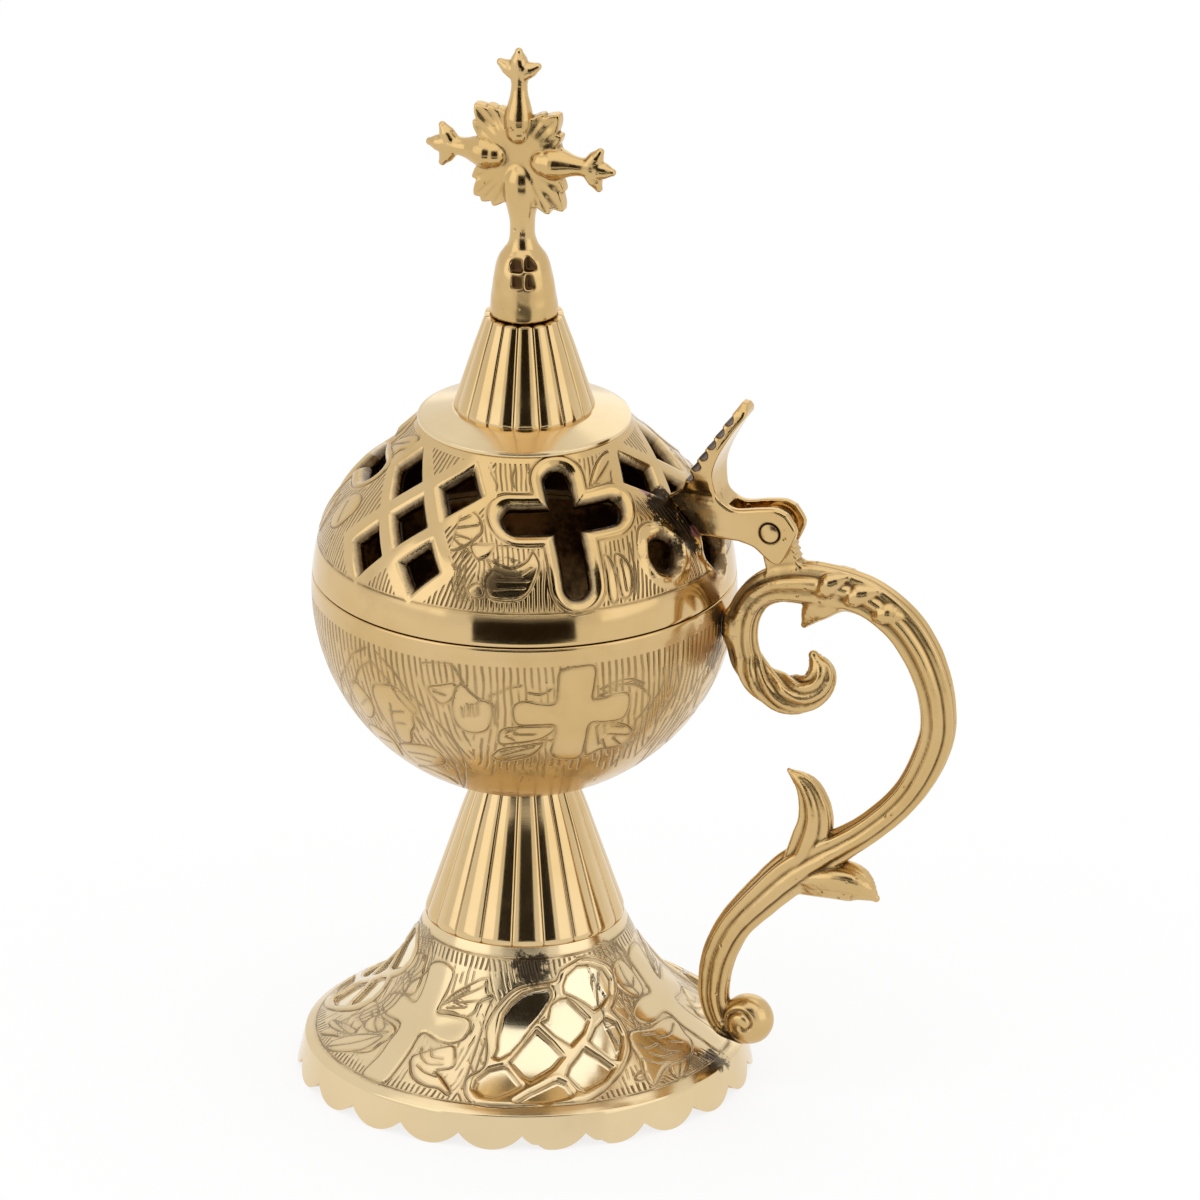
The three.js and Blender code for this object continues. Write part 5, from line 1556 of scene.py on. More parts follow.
# Across, up and half width
DENTS = ((-1.5, 11.9, 1.5), (1.4, 12.2, 1.5), (-1.5, 8.7, 1.45), (1.5, 8.6, 1.5))
CROSS_UP = 33.4
FINIAL_LEAN = -0.017
# Which way the finial leans, along x and y
LEAN_X, LEAN_Y = 0.94, 0.34
NECK_UP = 14
# Direction, length and droop in degrees
ARMS = (((0, 0, 1), 22, 0), ((1, 0, 0), 19.3, -3.4), ((-1, 0, 0), 19.3, 1.2))
ARM_RADII = (2.9, 3.35, 3.4, 3.1, 2.65, 2.2, 1.95, 1.85, 1.8)
ARM_START = 5.4
# Angle in degrees and reach of each petal
BURST_PETALS = (
    (61.4, 11.1), (49.1, 13.1), (31, 10.6), (132.6, 13.7), (122.5, 12.1), (112.7, 10.7), (146.7, 11.7),
    (223.9, 13.6), (231.8, 13.4), (242.4, 12.6), (208.8, 11.6), (297.7, 13), (310.8, 13.8), (326.8, 11.3),
    (291, 11.3),
)


def round_body(q, profile):
    """Distance to a turned body from its heights and radii, exact enough near the surface."""
    grid = np.linspace(profile[0][0], profile[-1][0], 400)
    heights, radii = spline(profile, 0.1).T
    radius = np.interp(grid, heights, radii)
    slope = np.interp(q[:, 2], grid, np.gradient(radius, grid))
    gap = np.hypot(q[:, 0], q[:, 1]) - np.interp(q[:, 2], grid, radius)
    return gap / np.sqrt(1 + np.clip(slope, -3, 3) ** 2)


def dent_gap(q):
    """Distance from the casting's four dents, low on the front of the bell."""
    gap = np.full(len(q), FAR)
    for x, z, wide in DENTS:
        out = 6.6 - 0.38 * (z - 9.0)
        place = np.array([LEAN_Y * out + x * LEAN_X, -LEAN_X * out + x * LEAN_Y, z])
        gap = np.minimum(gap, np.linalg.norm((q - place) * (1, 1, 0.85), 4, axis=1) - wide)
    return gap


def finial_distance(p):
    z = p[:, 2] - FINIAL_LOW[2]
    lean = FINIAL_LEAN * np.clip(z, 0, None)
    q = np.stack([p[:, 0] - lean * LEAN_X, p[:, 1] - lean * LEAN_Y, z], 1)
    result = round_body(q, BELL_PROFILE)
    result = soft_max(result, -dent_gap(q), 0.2)
    result = np.maximum(result, 0.05 - z)
    high = q[:, 2] > NECK_UP
    if high.any():
        result[high] = cross_distance(q[high], result[high])
    return result + 0.05 * ripple(p, 1.6)


def cross_distance(q, result):
    """The three free arms with their buds, and the bursts between them, joined to the neck."""
    c = np.array([0, 0, CROSS_UP])
    flat = q - c
    turn = np.degrees(np.arctan2(flat[:, 2], flat[:, 0])) % 360
    reach = np.hypot(flat[:, 0], flat[:, 2])
    edge = np.full(len(q), 8.8)
    valley = np.full(len(q), 1.0)
    for angle, tip in BURST_PETALS:
        off = np.abs((turn - angle + 180) % 360 - 180) * math.pi / 180 * reach
        edge = np.maximum(edge, tip - 0.75 * off**1.5 - 0.2 * off)
        valley = np.minimum(valley, np.clip(off / 1.3, 0, 1))
    out = smooth(5.0, 10.0, reach)
    thick = 2.2 - 0.35 * smooth(4.5, 1.0, reach) - 0.6 * out - 0.3 * (1 - valley) * out
    petals = soft_max((reach - edge) * 0.6, (np.abs(q[:, 1]) - thick) * 0.9, 0.5)
    result = soft_min(result, petals, 0.5)
    for direction, length_out, droop in ARMS:
        d = np.array(direction, float)
        side = np.array([1, 0, 0]) if d[2] else np.array([0, 0, 1])
        a = math.radians(droop)
        d, side = d * math.cos(a) + side * math.sin(a), side * math.cos(a) - d * math.sin(a)
        radii = np.array(ARM_RADII) * (0.86 if direction[2] else 1)
        bar = spindle(q, c + d * ARM_START - (0, 0.9, 0), c + d * (length_out - 5.0), radii)
        result = soft_min(result, bar, 0.25)
        root = c + d * (length_out - 5.6)
        end = spindle(q, root, c + d * length_out, (1.75, 2.0, 1.95, 1.6, 0.8))
        for sign in (1, -1):
            tip = root + d * 2.9 + side * sign * 3.9
            end = soft_min(end, spindle(q, root + d * 0.8, tip, (1.6, 1.8, 1.55, 0.8)), 0.35)
        end = soft_max(end, np.abs(q[:, 1]) - 1.9, 0.6)
        result = soft_min(result, end, 0.5)
    return result


class CENSER_OT_finial(bpy.types.Operator):
    """Add the cast cross finial"""

    bl_idname = "censer.finial"
    bl_label = "Finial"

    def execute(self, context):
        points, faces = cast_skin("cross_finial", finial_distance, FINE_SKIN)
        crease_tarnish_and_shade = hollowness(finial_distance, points, 0.6)
        z = points[:, 2] - FINIAL_LOW[2]
        # Crease darkening, partly painted shade; darker at the bell's foot and darkest in the four dents
        seam = 0.8 * smooth(0.5, 0.1, z)
        dents = 1.5 * smooth(0.45, -0.1, dent_gap(points - (0, 0, FINIAL_LOW[2])))
        values = {"crease_tarnish_and_shade": np.clip(crease_tarnish_and_shade * 0.75 * smooth(2, 6, z) + seam + dents, 0, 1.5)}
        material = brass("finial_cast", 0.15, cast=True, turned=False)
        make_piece("finial_cast", points, faces, "lid", "cast_brass", material, "cross_finial", values)
        return {"FINISHED"}


# Scroll handle: routes as x, z and half width along the middle of each branch
MAIN_ROUTE = (
    (46, 12.8, 2.4), (42.2, 14.4, 2.9), (40.3, 19, 3.2), (40.3, 24, 3.4), (41.6, 29.8, 3.6), (45, 36.5, 3.7),
    (51, 43.4, 4.2), (57.2, 49.6, 4.6), (63, 54, 4.2), (67.6, 57, 3.5), (72.6, 60.7, 3.2), (78, 65.7, 3.2),
    (82.1, 70.8, 3.3), (85.3, 76.8, 3.6), (87.4, 83.1, 3.7), (87.6, 88.5, 3.8), (86.5, 94.4, 4),
    (83.8, 100.8, 4.3), (79.5, 106.4, 4.4), (73, 110.6, 4.4), (65.7, 112, 4.6), (58.8, 112, 4.6),
    (53.2, 110.8, 3.9), (49.3, 108.2, 3.5), (46.9, 104, 3.4), (46.3, 98.6, 3.3), (47.5, 93.4, 3.4),
    (50.6, 89.6, 3.7), (55.2, 87.7, 4.2), (59.6, 88.3, 4), (62.4, 91, 3.5), (62.8, 93.8, 2.9),
    (61.4, 96.7, 1.1),
)
UPPER_LEAF = (
    (52, 45, 2), (57, 50, 3), (60.4, 56, 4.1), (61.8, 61, 3.8), (61.4, 65.2, 3.2), (59.8, 68.5, 2.4),
    (56.2, 71.2, 0.5),
)
LOWER_LEAF = (
    (52, 43.5, 2), (56.5, 46.8, 2.4), (62, 48.4, 3.6), (67, 49.1, 4.2), (71, 48.4, 3.6), (74.6, 46.1, 0.8),
)
THORN = ((66.5, 110.5, 3.6), (62, 107, 3.1), (59.4, 103, 0.7))
# Leaf, reeds, depth of their grooves, their turn and the blend into the bar
BRANCHES = ((UPPER_LEAF, 6, 0.20, 0.0, 0.3), (LOWER_LEAF, 4, 0.17, 0.4, 0.3), (THORN, 4, 0.12, 0.0, 0.5))
MAIN_REEDS = 7
MAIN_GROOVE = 0.19
MAIN_TWIST = 0.16
TWISTED_END = 26
# Root, middle and tip of each lobe over the bend, as x and z
TOP_LOBES = (
    ((69, 115.2), (65.6, 113.6), (62, 110.4)), ((75.4, 113), (71.8, 112.2), (67.8, 109.6)),
    ((81, 108.4), (77.8, 109), (73.6, 107.6)),
)
LOBES_FROM = 100
SADDLE_POINT = (46.3, 98.6)
VOLUTE_POINT = (47.5, 16.0)
SADDLE_STANDOFF = 3.8
SADDLE_BELOW_RIM = 8.2
VOLUTE_PAST_LIP = 1.9
VOLUTE_ABOVE_SKIRT = 5.3
VOLUTE = (
    FOOT_RADIUS + VOLUTE_PAST_LIP,
    LIP_HEIGHT + VOLUTE_ABOVE_SKIRT + SKIRT_PULLS[0][1] / 2 + BRAZE_GAP * 2,
)
SADDLE = (RIM_RADIUS + SADDLE_STANDOFF, BOWL_HIGH[2] - SADDLE_BELOW_RIM)
VOLUTE_RADIUS = 5.2
VOLUTE_DEPTH = 4.4
SPIRAL_PITCH = 0.62
FLATTEST = 3.6
KNUCKLE_RADIUS = 4.0
KNUCKLE_HALF = 1.72
KNUCKLE_FOOT = ((-2.4, -5.0), (-1.0, -11.0), (6.4, -11.0), (5.4, -7.0))
RIB_PITCH = 1.25


class Route:
    """A flat curve of x, z and half width, with a table for finding its nearest place."""

    def __init__(self, points, cell=0.6, margin=8.0):
        r = np.array(points, float)
        share = (r[:, 1] - VOLUTE_POINT[1]) / (SADDLE_POINT[1] - VOLUTE_POINT[1])
        shift = (VOLUTE[0] - VOLUTE_POINT[0]) * (1 - share) + (SADDLE[0] - SADDLE_POINT[0]) * share
        z = VOLUTE[1] + share * (SADDLE[1] - VOLUTE[1])
        self.line = spline(np.stack([r[:, 0] + shift, z, r[:, 2]], 1), 0.3)
        self.along = lengths_along(self.line)
        run = np.gradient(self.line[:, :2], axis=0)
        self.run = run / np.linalg.norm(run, axis=1)[:, None]
        self.cell = cell
        self.low, count, places = grid_round(self.line[:, :2], margin, cell)
        parts = np.array_split(places, 1 + len(places) // 2000)
        self.table = np.concatenate([self.gaps(part).argmin(1) for part in parts]).reshape(count)

    def gaps(self, places):
        return ((places[:, None] - self.line[None, :, :2]) ** 2).sum(-1)

    def nearest(self, flat):
        cells = np.clip(np.rint((flat - self.low) / self.cell).astype(int), 0, np.array(self.table.shape) - 1)
        start = self.table[cells[:, 0], cells[:, 1]]
        at, best = start, ((flat - self.line[start, :2]) ** 2).sum(1)
        for shift in (-2, -1, 1, 2):
            other = np.clip(start + shift, 0, len(self.line) - 1)
            gap = ((flat - self.line[other, :2]) ** 2).sum(1)
            at, best = np.where(gap < best, other, at), np.minimum(best, gap)
        return at


def reeded_branch(p, route, reeds, depth, phase, twist=0.0, twist_from=0.0):
    """A swept bar with soft reeds that follow its length."""
    flat = p[:, [0, 2]]
    at = route.nearest(flat)
    off = flat - route.line[at, :2]
    run = route.run[at]
    w = (off * run).sum(1)
    u = off[:, 1] * run[:, 0] - off[:, 0] * run[:, 1]
    half = route.line[at, 2]
    deep = np.minimum(half * 0.86, FLATTEST)
    v = p[:, 1]
    end = (at == 0) | (at == len(route.line) - 1)
    q = np.sqrt((u / half) ** 2 + (v / deep) ** 2 + np.where(end, w / half, 0) ** 2)
    along = route.along[at]
    turn = np.arctan2(v / deep, u / half) + phase + twist * np.clip(along - twist_from, 0, None)
    wave = np.abs(np.sin(turn * reeds / 2))
    groove = 0.55 * (1 - wave) + 0.45 * (1 - wave**2)
    ends = smooth(0, 3.0, along) * smooth(0.5, 4.5, route.along[-1] - along)
    return (q - 1 + depth * groove * ends) * np.minimum(half, deep)


class Shapes:
    """Routes and outlines of the cast pieces, made once."""

    def __init__(self):
        self.main = Route(MAIN_ROUTE)
        self.branches = [(Route(leaf), *settings) for leaf, *settings in BRANCHES]
        self.knuckle = Table(np.vstack([arc((0, 0), KNUCKLE_RADIUS, -20, 180, 14), KNUCKLE_FOOT]))
        half = spline(FRONT_HALF, 1.2)
        self.lever_side = Table(lever_outline(), 0.15)
        self.lever_front = Table(np.vstack([half, half[::-1] * (-1, 1)]), 0.15)
        self.dome = even(lid_profile(), 0.6)


@functools.cache
def shapes():
    return Shapes()


def about_hinge(p):
    return p[:, 0] - HINGE[0], p[:, 2] - HINGE[1]


def pin_hole(x, z):
    """Distance into the hole that the pin turns in, from places about the hinge."""
    return PIN_RADIUS + 0.1 - np.hypot(x, z)


def handle_distance(p):
    s = shapes()
    twist_from = s.main.along[-1] - TWISTED_END
    result = reeded_branch(p, s.main, MAIN_REEDS, MAIN_GROOVE, math.pi / MAIN_REEDS, MAIN_TWIST, twist_from)
    for route, reeds, depth, phase, blend in s.branches:
        result = soft_min(result, reeded_branch(p, route, reeds, depth, phase), blend)
    top = p[:, 2] > LOBES_FROM
    result[top] = soft_min(result[top], lobe_distance(p[top]), 0.2)
    result = soft_min(result, volute_distance(p), 0.35)
    result = soft_min(result, knuckle_distance(p), 0.7)
    pad = np.stack([p[:, 0] - SADDLE[0] + 1.6, p[:, 1], p[:, 2] - SADDLE[1] - 2.2], 1)
    result = soft_min(result, (np.linalg.norm(pad / (2.6, 3.2, 4.6), axis=1) - 1) * 2.4, 0.8)
    result = np.maximum(result, BOWL_RADIUS + 0.22 - np.linalg.norm(p - (0, 0, BOWL_CENTRE), axis=1))
    result = np.maximum(result, pin_hole(*about_hinge(p)))
    return result + 0.03 * ripple(p, 1.8)


def lobe_distance(p):
    """Pairs of leaf lobes over the handle's bend."""
    lobes = np.full(len(p), FAR)
    for root, middle, tip in TOP_LOBES:
        for side in (1, -1):
            places = zip((root, middle, tip), (1.6, 2.05, 2.1))
            start, centre, end = ((x, side * out, z) for (x, z), out in places)
            first = spindle(p, start, centre, (0.8, 1.8, 2.2))
            last = spindle(p, centre, end, (2.2, 2.1, 1.4, 0.4))
            lobes = np.minimum(lobes, np.minimum(first, last))
    return lobes


def volute_distance(p):
    """The ball at the handle's foot with its spiral groove."""
    squeeze = (1, VOLUTE_RADIUS / VOLUTE_DEPTH, 1)
    ball = np.linalg.norm((p - (VOLUTE[0], 0, VOLUTE[1])) * squeeze, axis=1) - VOLUTE_RADIUS
    x, z = p[:, 0] - VOLUTE[0], p[:, 2] - VOLUTE[1]
    reach, turn = np.hypot(x, z), np.arctan2(z, x)
    spiral = reach - SPIRAL_PITCH * ((turn + 2.6) % (2 * math.pi))
    groove = np.exp(-((spiral / 0.5) ** 2)) * smooth(4.6, 3.4, reach)
    return ball * 0.86 + 0.55 * groove


def knuckle_distance(p):
    x, z = about_hinge(p)
    ribs = 0.2 * np.cos(z * 2 * math.pi / RIB_PITCH) * smooth(0.5, -2.0, z) * smooth(0.0, 2.0, x)
    return soft_max(shapes().knuckle(x, z) + ribs, np.abs(p[:, 1]) - KNUCKLE_HALF, 0.35)


class CENSER_OT_handle(bpy.types.Operator):
    """Add the scroll handle with its knuckle and volute"""

    bl_idname = "censer.handle"
    bl_label = "Handle"

    def execute(self, context):
        points, faces = cast_skin("handle", handle_distance, HANDLE_SKIN)
        # Darkening in the casting's creases: partly tarnish, partly painted shade
        values = {"crease_tarnish_and_shade": np.clip(hollowness(handle_distance, points, 0.9), 0, 1.2)}
        material = brass("handle_cast", 0.2, cast=True, turned=False, heat_and_shade="handle")
        make_piece("handle_cast", points, faces, "standing", "cast_brass", material, "handle", values)
        return {"FINISHED"}


# Thumb lever: outlines about the hinge pin
FORK_LOW = (
    (-6.6, -2.8), (-3.6, -3.6), (-1.3, -5.4), (0.4, -6.5), (2.1, -6.4), (4, -3.1), (5.4, 0.1), (5.2, 1.8),
    (3.5, 4.3), (1.1, 5.1), (-2.5, 4.7), (-7.2, 3.9),
)
LEAF_BACK = ((-9.8, 4.9), (-11.2, 6.5), (-11.8, 9.5), (-11.7, 12), (-10.5, 15.4), (-8, 19.9), (-5.6, 23.4))
LEAF_TIP = ((-5.3, 24.6), (-5.6, 25.9), (-6.8, 26.2))
LEAF_FRONT = ((-9.8, 21.8), (-13.2, 16.6), (-16.4, 11.8), (-18.4, 7.3))
FRONT_HALF = (
    (3.8, -8), (3.8, 4.5), (4.3, 7.5), (4.9, 10.5), (5.2, 14), (5, 17.5), (4.2, 21), (2.8, 24.4), (1, 26.6),
)
SLOT_HALF = 2.1
SLOT_REACH = 9.2
SLOT_TOP = 9.0
GRIP_NOTCHES = 6
NOTCH_RADIUS = 1.05
NOTCH_START = (-17.7, 9.0)
NOTCH_RUN = (9.6, 15.2)


def lever_outline():
    """The lever seen from the side, about the hinge, its roots sunk in the lid."""
    roots = []
    lid = even(lid_profile(), 0.2)
    for rise in (4.2, 0.8, -2.6):
        radius = np.interp(HINGE[1] + rise, lid[:, 1], lid[:, 0])
        roots.append((radius - 2.0 - HINGE[0], rise))
    low = spline(FORK_LOW[:9], 0.5)[1:]
    back = spline(FORK_LOW[8:] + LEAF_BACK, 0.6)[1:]
    return np.array([FORK_LOW[0], *low, *back, *LEAF_TIP, *spline(LEAF_FRONT, 0.6), *roots])


def notch_gap(x, z):
    """Distance to the nearest of the grip's notches."""
    steps = ((np.arange(GRIP_NOTCHES) + 0.5) / GRIP_NOTCHES)[:, None]
    across, up = x - NOTCH_START[0] - NOTCH_RUN[0] * steps, z - NOTCH_START[1] - NOTCH_RUN[1] * steps
    return np.hypot(across, up).min(0)


def lever_distance(p):
    s = shapes()
    x, z = about_hinge(p)
    result = soft_max(s.lever_side(x, z), s.lever_front(p[:, 1], z), 0.8)
    slot = soft_max(soft_max(np.abs(p[:, 1]) - SLOT_HALF, -(x + SLOT_REACH), 0.4), z - SLOT_TOP, 0.4)
    result = soft_max(result, -slot, 0.25)
    result = soft_max(result, NOTCH_RADIUS - notch_gap(x, z), 0.1)
    result = soft_max(result, pin_hole(x, z), 0.1)
    radius = np.hypot(p[:, 0], p[:, 1])
    lid = np.interp(p[:, 2], s.dome[:, 1], s.dome[:, 0])
    result = np.maximum(result, (lid + 0.12 - radius) * 0.8)
    return result + 0.02 * ripple(p, 1.8, 0.5)


class CENSER_OT_lever(bpy.types.Operator):
    """Add the thumb lever and its pin"""

    bl_idname = "censer.lever"
    bl_label = "Thumb lever"

    def execute(self, context):
        points, faces = cast_skin("thumb_lever", lever_distance, FINE_SKIN)
        x, z = about_hinge(points)
        # Painted shade: near black in the gap round the pin and in the grip's notches; away from the pin,
        # crease darkening that is partly painted shade
        ring = smooth(0.5, 0.15, np.abs(np.hypot(x, z) - PIN_RADIUS - 0.1))
        crease_tarnish_and_shade = np.clip(hollowness(lever_distance, points, 0.5), 0, 1.5)
        notch = smooth(NOTCH_RADIUS + 0.35, NOTCH_RADIUS + 0.05, notch_gap(x, z))
        cheek = crease_tarnish_and_shade * smooth(0.8, 1.6, np.hypot(x, z) - PIN_RADIUS)
        values = {"crease_tarnish_and_shade": np.maximum(cheek, 1.5 * np.maximum(ring, notch))}
        material = brass("lever_cast", 0.10, cast=True, turned=False, heat_and_shade="lever")
        make_piece("lever_cast", points, faces, "lid", "cast_brass", material, "thumb_lever", values)
        pin_piece()
        return {"FINISHED"}


def pin_piece():
    """The riveted pin: a bar across the fork with flat, softly chamfered ends."""
    half = (PIN_HIGH[1] - PIN_LOW[1]) / 2 - 0.1
    r = PIN_RADIUS
    chamfer = ((AXIS_POINT, 0), (r - 0.3, 0), (r - 0.06, 0.1), (r, 0.3))
    shape = Turned(mirrored(chamfer, -half, half), 48)
    p = shape.points()
    points = np.stack([p[:, 0] + HINGE[0], p[:, 2], p[:, 1] + HINGE[1]], 1)
    faces = [list(f[::-1]) for f in shape.faces()]
    # Painted shade at the pin's edge, where it meets its hole
    values = {"crease_tarnish_and_shade": 1.4 * smooth(r - 0.35, r - 0.05, np.hypot(p[:, 0], p[:, 1]))}
    material = brass("hinge_rivet", 0.12, turned=False)
    make_piece("hinge_rivet", points, faces, "lid", "plain_brass", material, "hinge_pin", values, crease=50)


# Hidden hardware
THREAD_PITCH = 0.7
THREAD_DEPTH = 0.26
ROD_RADIUS = 2.0
ROD_COLUMNS = 24
HEXAGON_COLUMNS = 96
BOLT_HEAD = 2.6
NUT_BORE = 2.1
WASHER_BORE = 2.3


def hexagon(name, bottom, top, across, body, slot, material, node, bore=0.0):
    """A chamfered hexagon nut or bolt head."""
    inner, outer = max(bore, AXIS_POINT), across / 2
    chamfer = ((inner, 0), (outer - 0.8, 0), (outer, 0.45))
    shape = Turned(mirrored(chamfer, bottom, top), HEXAGON_COLUMNS)
    p = shape.points()
    turn = (shape.angle + math.pi / 6) % (math.pi / 3) - math.pi / 6
    flat = outer * math.cos(math.pi / 6) / np.cos(turn)
    radius = np.hypot(p[:, 0], p[:, 1])
    p[:, :2] *= np.minimum(1.0, flat / np.maximum(radius, 1e-6))[:, None]
    make_piece(name, p, shape.faces(bore > 0), body, slot, material, node, crease=28)


def threaded_rod(name, bottom, top, body, slot, material, node):
    """A rod with a real thread ridge along it."""
    rows = int((top - bottom) / THREAD_PITCH * 4)
    side = np.stack([np.full(rows, ROD_RADIUS), np.linspace(bottom, top, rows)], 1)
    shape = Turned(np.vstack([[(AXIS_POINT, bottom)], side, [(AXIS_POINT, top)]]), ROD_COLUMNS)
    z = shape.height()
    phase = (z / THREAD_PITCH - shape.angle / (2 * math.pi)) % 1.0
    ends = smooth(0, 0.6, z - bottom) * smooth(0, 0.6, top - z)
    thread = -THREAD_DEPTH * np.abs(2 * phase - 1) - 0.35 * (1 - ends)
    lift = np.where((shape.row > 0.5) & (shape.row < rows + 0.5), thread, 0)
    make_piece(name, shape.points(lift), shape.faces(), body, slot, material, node, crease=60)


class CENSER_OT_hardware(bpy.types.Operator):
    """Add the tie bolt, stud, nuts and washers"""

    bl_idname = "censer.hardware"
    bl_label = "Hidden hardware"

    def execute(self, context):
        plain = ("plain_brass", brass("plain_hardware", 0.22))
        sooted = ("sooted_brass", sooty("smoked_hardware", 0.5))
        for prefix, body, finish in (("tie", "standing", plain), ("spire", "lid", sooted)):
            nut, washer = prefix + "_nut", prefix + "_washer"
            low, high = node_box(nut)
            hexagon(nut + "_brass", low[2], high[2], high[0] - low[0], body, *finish, nut, NUT_BORE)
            low, high = node_box(washer)
            outer = (high[0] - low[0]) / 2
            ring = mirrored(((WASHER_BORE, 0), (outer - 0.2, 0), (outer, 0.2)), low[2], high[2])
            turned_piece(washer + "_brass", ring, 64, body, *finish, washer, closed_rows=True, crease=40)
        low, high = node_box("tie_bolt")
        neck = high[2] - BOLT_HEAD
        threaded_rod("tie_bolt_shank", low[2], neck, "standing", *sooted, "tie_bolt")
        hexagon("tie_bolt_head", neck, high[2], high[1] - low[1], "standing", *sooted, "tie_bolt")
        low, high = node_box("spire_stud")
        threaded_rod("spire_stud_rod", low[2], high[2], "lid", *sooted, "spire_stud")
        return {"FINISHED"}


# Charcoal pan
PAN_WALL = 1.2
PAN_COLUMNS = 144


class CENSER_OT_pan(bpy.types.Operator):
    """Add the loose charcoal pan"""

    bl_idname = "censer.pan"
    bl_label = "Charcoal pan"

    def execute(self, context):
        low, high = PAN_LOW[2], PAN_HIGH[2]
        rim = (PAN_HIGH[1] - PAN_LOW[1]) / 2
        lip = [
            (rim - 0.25, high - 0.75), (rim, high - 0.45), (rim - 0.1, high - 0.12), (rim - 0.5, high),
            (rim - 1.1, high - 0.2), (rim - 1.5, high - 0.9),
        ]
        profile = np.vstack([
            [(AXIS_POINT, low), (19.6, low), (20.3, low + 0.25), (20.7, low + 0.7)],
            even([(21.0, low + PAN_WALL), (rim - 0.9, high - 1.2)], 1.0),
            lip,
            even([(rim - 2.0, high - 1.6), (19.9, low + 1.5)], 1.0),
            [(19.0, low + PAN_WALL), (AXIS_POINT, low + PAN_WALL)],
        ])
        turned_piece(
            "charcoal_pan_brass", profile, PAN_COLUMNS, "pan", "sooted_brass", sooty("charcoal_pan", 0.55),
            "charcoal_pan",
        )
        return {"FINISHED"}


# Stage
CAMERA_AZIMUTH = 20.0
CAMERA_ELEVATION = 22.3
CAMERA_DISTANCE = 4.5
FRAME_WIDTH_MM = 240.0
TARGET_RIGHT_MM = 15.1
TARGET_HEIGHT_MM = 100.1
SENSOR_MM = 36.0
CARD_STANDOFF_MM = 250.0
# Half width, lower and upper edge
CARDS_MM = ((118.0, 68.0, 134.0), (118.0, 162.0, 350.0))
ROOM_LIGHT = 0.92
FLOOR_GLOW = 0.8
# Name, turn from the camera, height, reach, size and power
SOFTBOXES = (
    ("softbox_left", -62, 0.55, 1.1, 0.9, 1.3),
    ("softbox_right", 58, 0.45, 1.2, 0.8, 0.9),
    ("softbox_top", 8, 1.3, 0.25, 1.8, 3.6),
    ("softbox_back", 170, 0.7, 1.3, 1.0, 1.2),
)


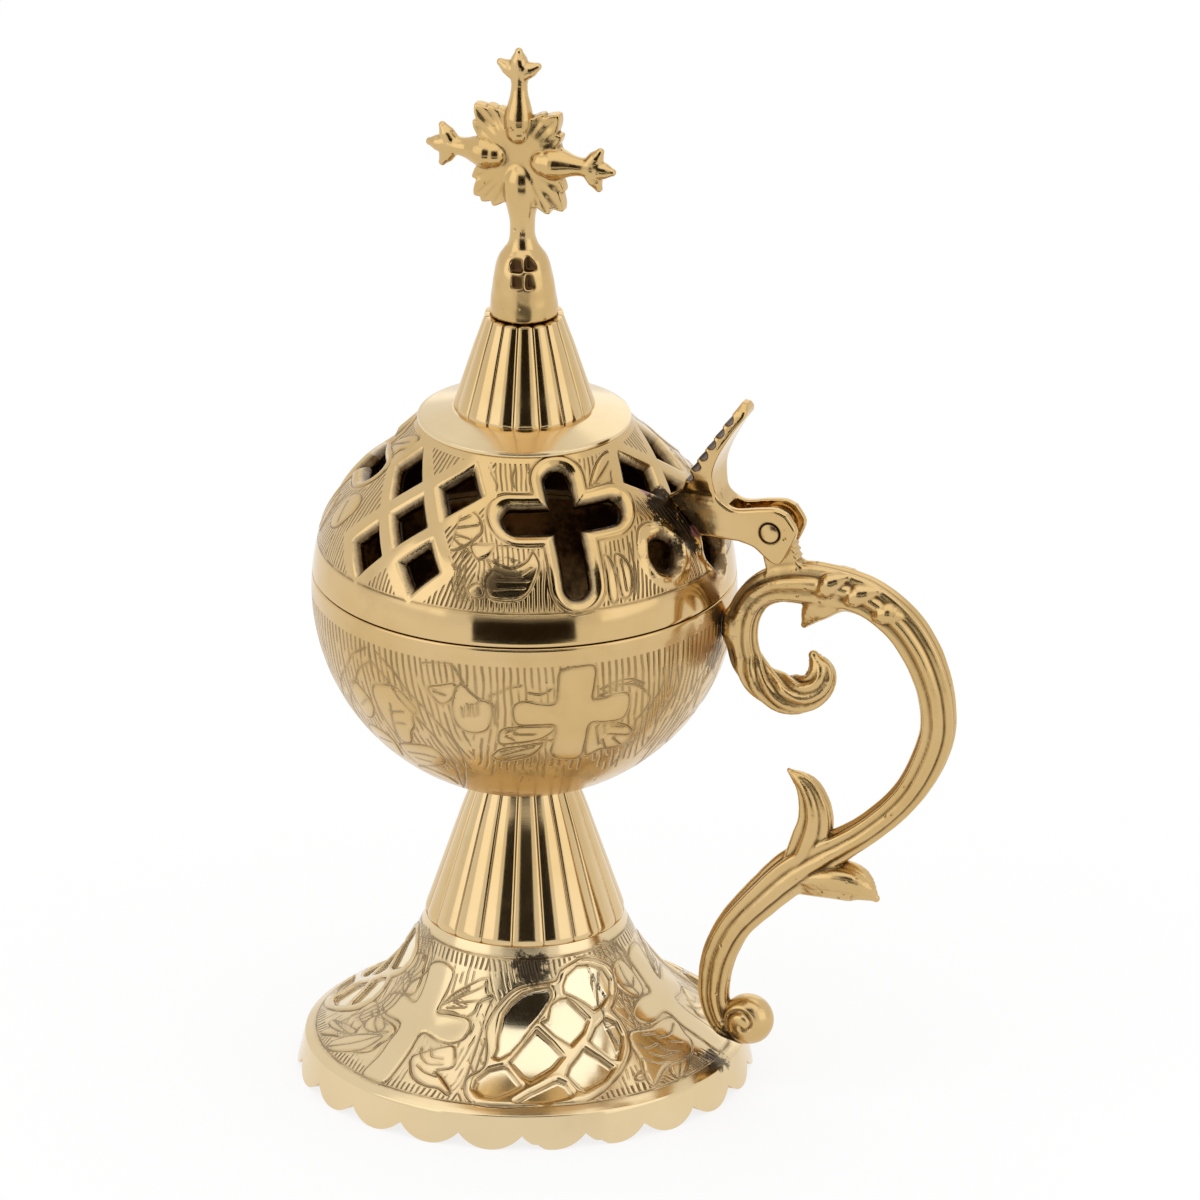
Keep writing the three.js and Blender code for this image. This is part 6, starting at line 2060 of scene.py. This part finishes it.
class CENSER_OT_stage(bpy.types.Operator):
    """Add the floor, lights, dark cards and camera"""

    bl_idname = "censer.stage"
    bl_label = "Stage"

    def execute(self, context):
        scene = context.scene
        a, e = math.radians(CAMERA_AZIMUTH), math.radians(CAMERA_ELEVATION)
        back = Vector((math.sin(a) * math.cos(e), -math.cos(a) * math.cos(e), math.sin(e)))
        right = Vector((math.cos(a), math.sin(a), 0))
        target = Vector((AXIS_X * MM, 0, TARGET_HEIGHT_MM * MM)) + right * TARGET_RIGHT_MM * MM
        camera = bpy.data.objects.new("camera", bpy.data.cameras.new("camera"))
        scene.collection.objects.link(camera)
        camera.data.sensor_width = SENSOR_MM
        camera.data.lens = SENSOR_MM * CAMERA_DISTANCE / (FRAME_WIDTH_MM * MM)
        camera.data.clip_start, camera.data.clip_end = 0.1, 50
        camera.location = target + back * CAMERA_DISTANCE
        camera.rotation_euler = (-back).to_track_quat("-Z", "Y").to_euler()
        scene.camera = camera
        self.floor()
        for number, card_mm in enumerate(CARDS_MM):
            self.card("dark_card_%d" % number, a, *card_mm)
        self.lights(a)
        self.world()
        return {"FINISHED"}

    def plane(self, name, corners, material):
        mesh = bpy.data.meshes.new(name)
        mesh.from_pydata(corners, [], [(0, 1, 2, 3)])
        mesh.materials.append(material)
        plane = bpy.data.objects.new(name, mesh)
        bpy.context.scene.collection.objects.link(plane)
        return plane

    def floor(self):
        f = Finish("floor")
        f.set(Base_Color=(0.92, 0.92, 0.92, 1), Roughness=0.9)
        light = f.node("ShaderNodeEmission", {}, [(1, 1, 1, 1), 1.0])
        direct = f.node("ShaderNodeLightPath", output="Is Camera Ray")
        seen = direct.most(f.node("ShaderNodeLightPath", output="Is Glossy Ray"))
        mixed = f.node("ShaderNodeMixShader", {}, [seen * FLOOR_GLOW, Value(f, f.surface.outputs[0]), light])
        f.tree.links.new(mixed.socket, f.tree.nodes["Material Output"].inputs["Surface"])
        self.plane("floor", [(-3, -3, 0), (3, -3, 0), (3, 3, 0), (-3, 3, 0)], f.material)

    def card(self, name, a, half, low, high):
        """A dark card in front, seen only in reflections, where the room is dark behind the camera."""
        f = Finish(name)
        f.set(Base_Color=(0.020, 0.015, 0.009, 1), Roughness=1.0, Specular_IOR_Level=0.0)
        out = Vector((math.sin(a), -math.cos(a), 0))
        side = Vector((math.cos(a), math.sin(a), 0))
        middle = Vector((AXIS_X, 0, 0)) + out * CARD_STANDOFF_MM
        places = ((-1, low), (1, low), (1, high), (-1, high))
        corners = [(middle + side * s * half + Vector((0, 0, z))) * MM for s, z in places]
        card = self.plane(name, corners, f.material)
        for ray in ("camera", "diffuse", "shadow", "transmission"):
            setattr(card, "visible_" + ray, False)

    def lights(self, a):
        for name, turn, height, reach, size, power in SOFTBOXES:
            angle = a + math.radians(turn)
            light = bpy.data.objects.new(name, bpy.data.lights.new(name, "AREA"))
            bpy.context.scene.collection.objects.link(light)
            light.data.size, light.data.energy = size, power
            light.location = (AXIS_X * MM + math.sin(angle) * reach, -math.cos(angle) * reach, height)
            aim = Vector((AXIS_X * MM, 0, 0.1)) - light.location
            light.rotation_euler = aim.to_track_quat("-Z", "Y").to_euler()

    def world(self):
        world = bpy.data.worlds.new("studio")
        bpy.context.scene.world = world
        world.use_nodes = True
        tree = world.node_tree
        background = tree.nodes["Background"]
        path = tree.nodes.new("ShaderNodeLightPath")
        strength = tree.nodes.new("ShaderNodeMapRange")
        strength.inputs["To Min"].default_value = ROOM_LIGHT
        strength.inputs["To Max"].default_value = 1.0
        tree.links.new(path.outputs["Is Camera Ray"], strength.inputs["Value"])
        tree.links.new(strength.outputs[0], background.inputs["Strength"])
        background.inputs["Color"].default_value = (1, 1, 1, 1)


class CENSER_PT_panel(bpy.types.Panel):
    """Sizes, colours and pieces of the censer"""

    bl_idname = "CENSER_PT_panel"
    bl_label = "Standing Censer"
    bl_space_type = "VIEW_3D"
    bl_region_type = "UI"
    bl_category = "Censer"

    def draw(self, context):
        for group in (context.scene.censer_sizes, context.scene.censer_look):
            for key in group.__annotations__:
                self.layout.prop(group, key)
        for operator in OPERATORS:
            self.layout.operator(operator.bl_idname)


OPERATORS = (
    CENSER_OT_stage, CENSER_OT_foot, CENSER_OT_stem, CENSER_OT_bowl, CENSER_OT_lid, CENSER_OT_spire,
    CENSER_OT_finial, CENSER_OT_handle, CENSER_OT_lever, CENSER_OT_hardware, CENSER_OT_pan,
)
CLASSES = (CENSER_PG_look, CENSER_PG_sizes, *OPERATORS, CENSER_PT_panel)


def register():
    for cls in CLASSES:
        bpy.utils.register_class(cls)
    bpy.types.Scene.censer_look = bpy.props.PointerProperty(type=CENSER_PG_look)
    bpy.types.Scene.censer_sizes = bpy.props.PointerProperty(type=CENSER_PG_sizes)


def unregister():
    del bpy.types.Scene.censer_sizes
    del bpy.types.Scene.censer_look
    for cls in reversed(CLASSES):
        bpy.utils.unregister_class(cls)


def main():
    register()
    bpy.context.scene.view_settings.view_transform = "Standard"
    for operator in OPERATORS:
        group, name = operator.bl_idname.split(".")
        getattr(getattr(bpy.ops, group), name)()


if __name__ == "__main__":
    main()
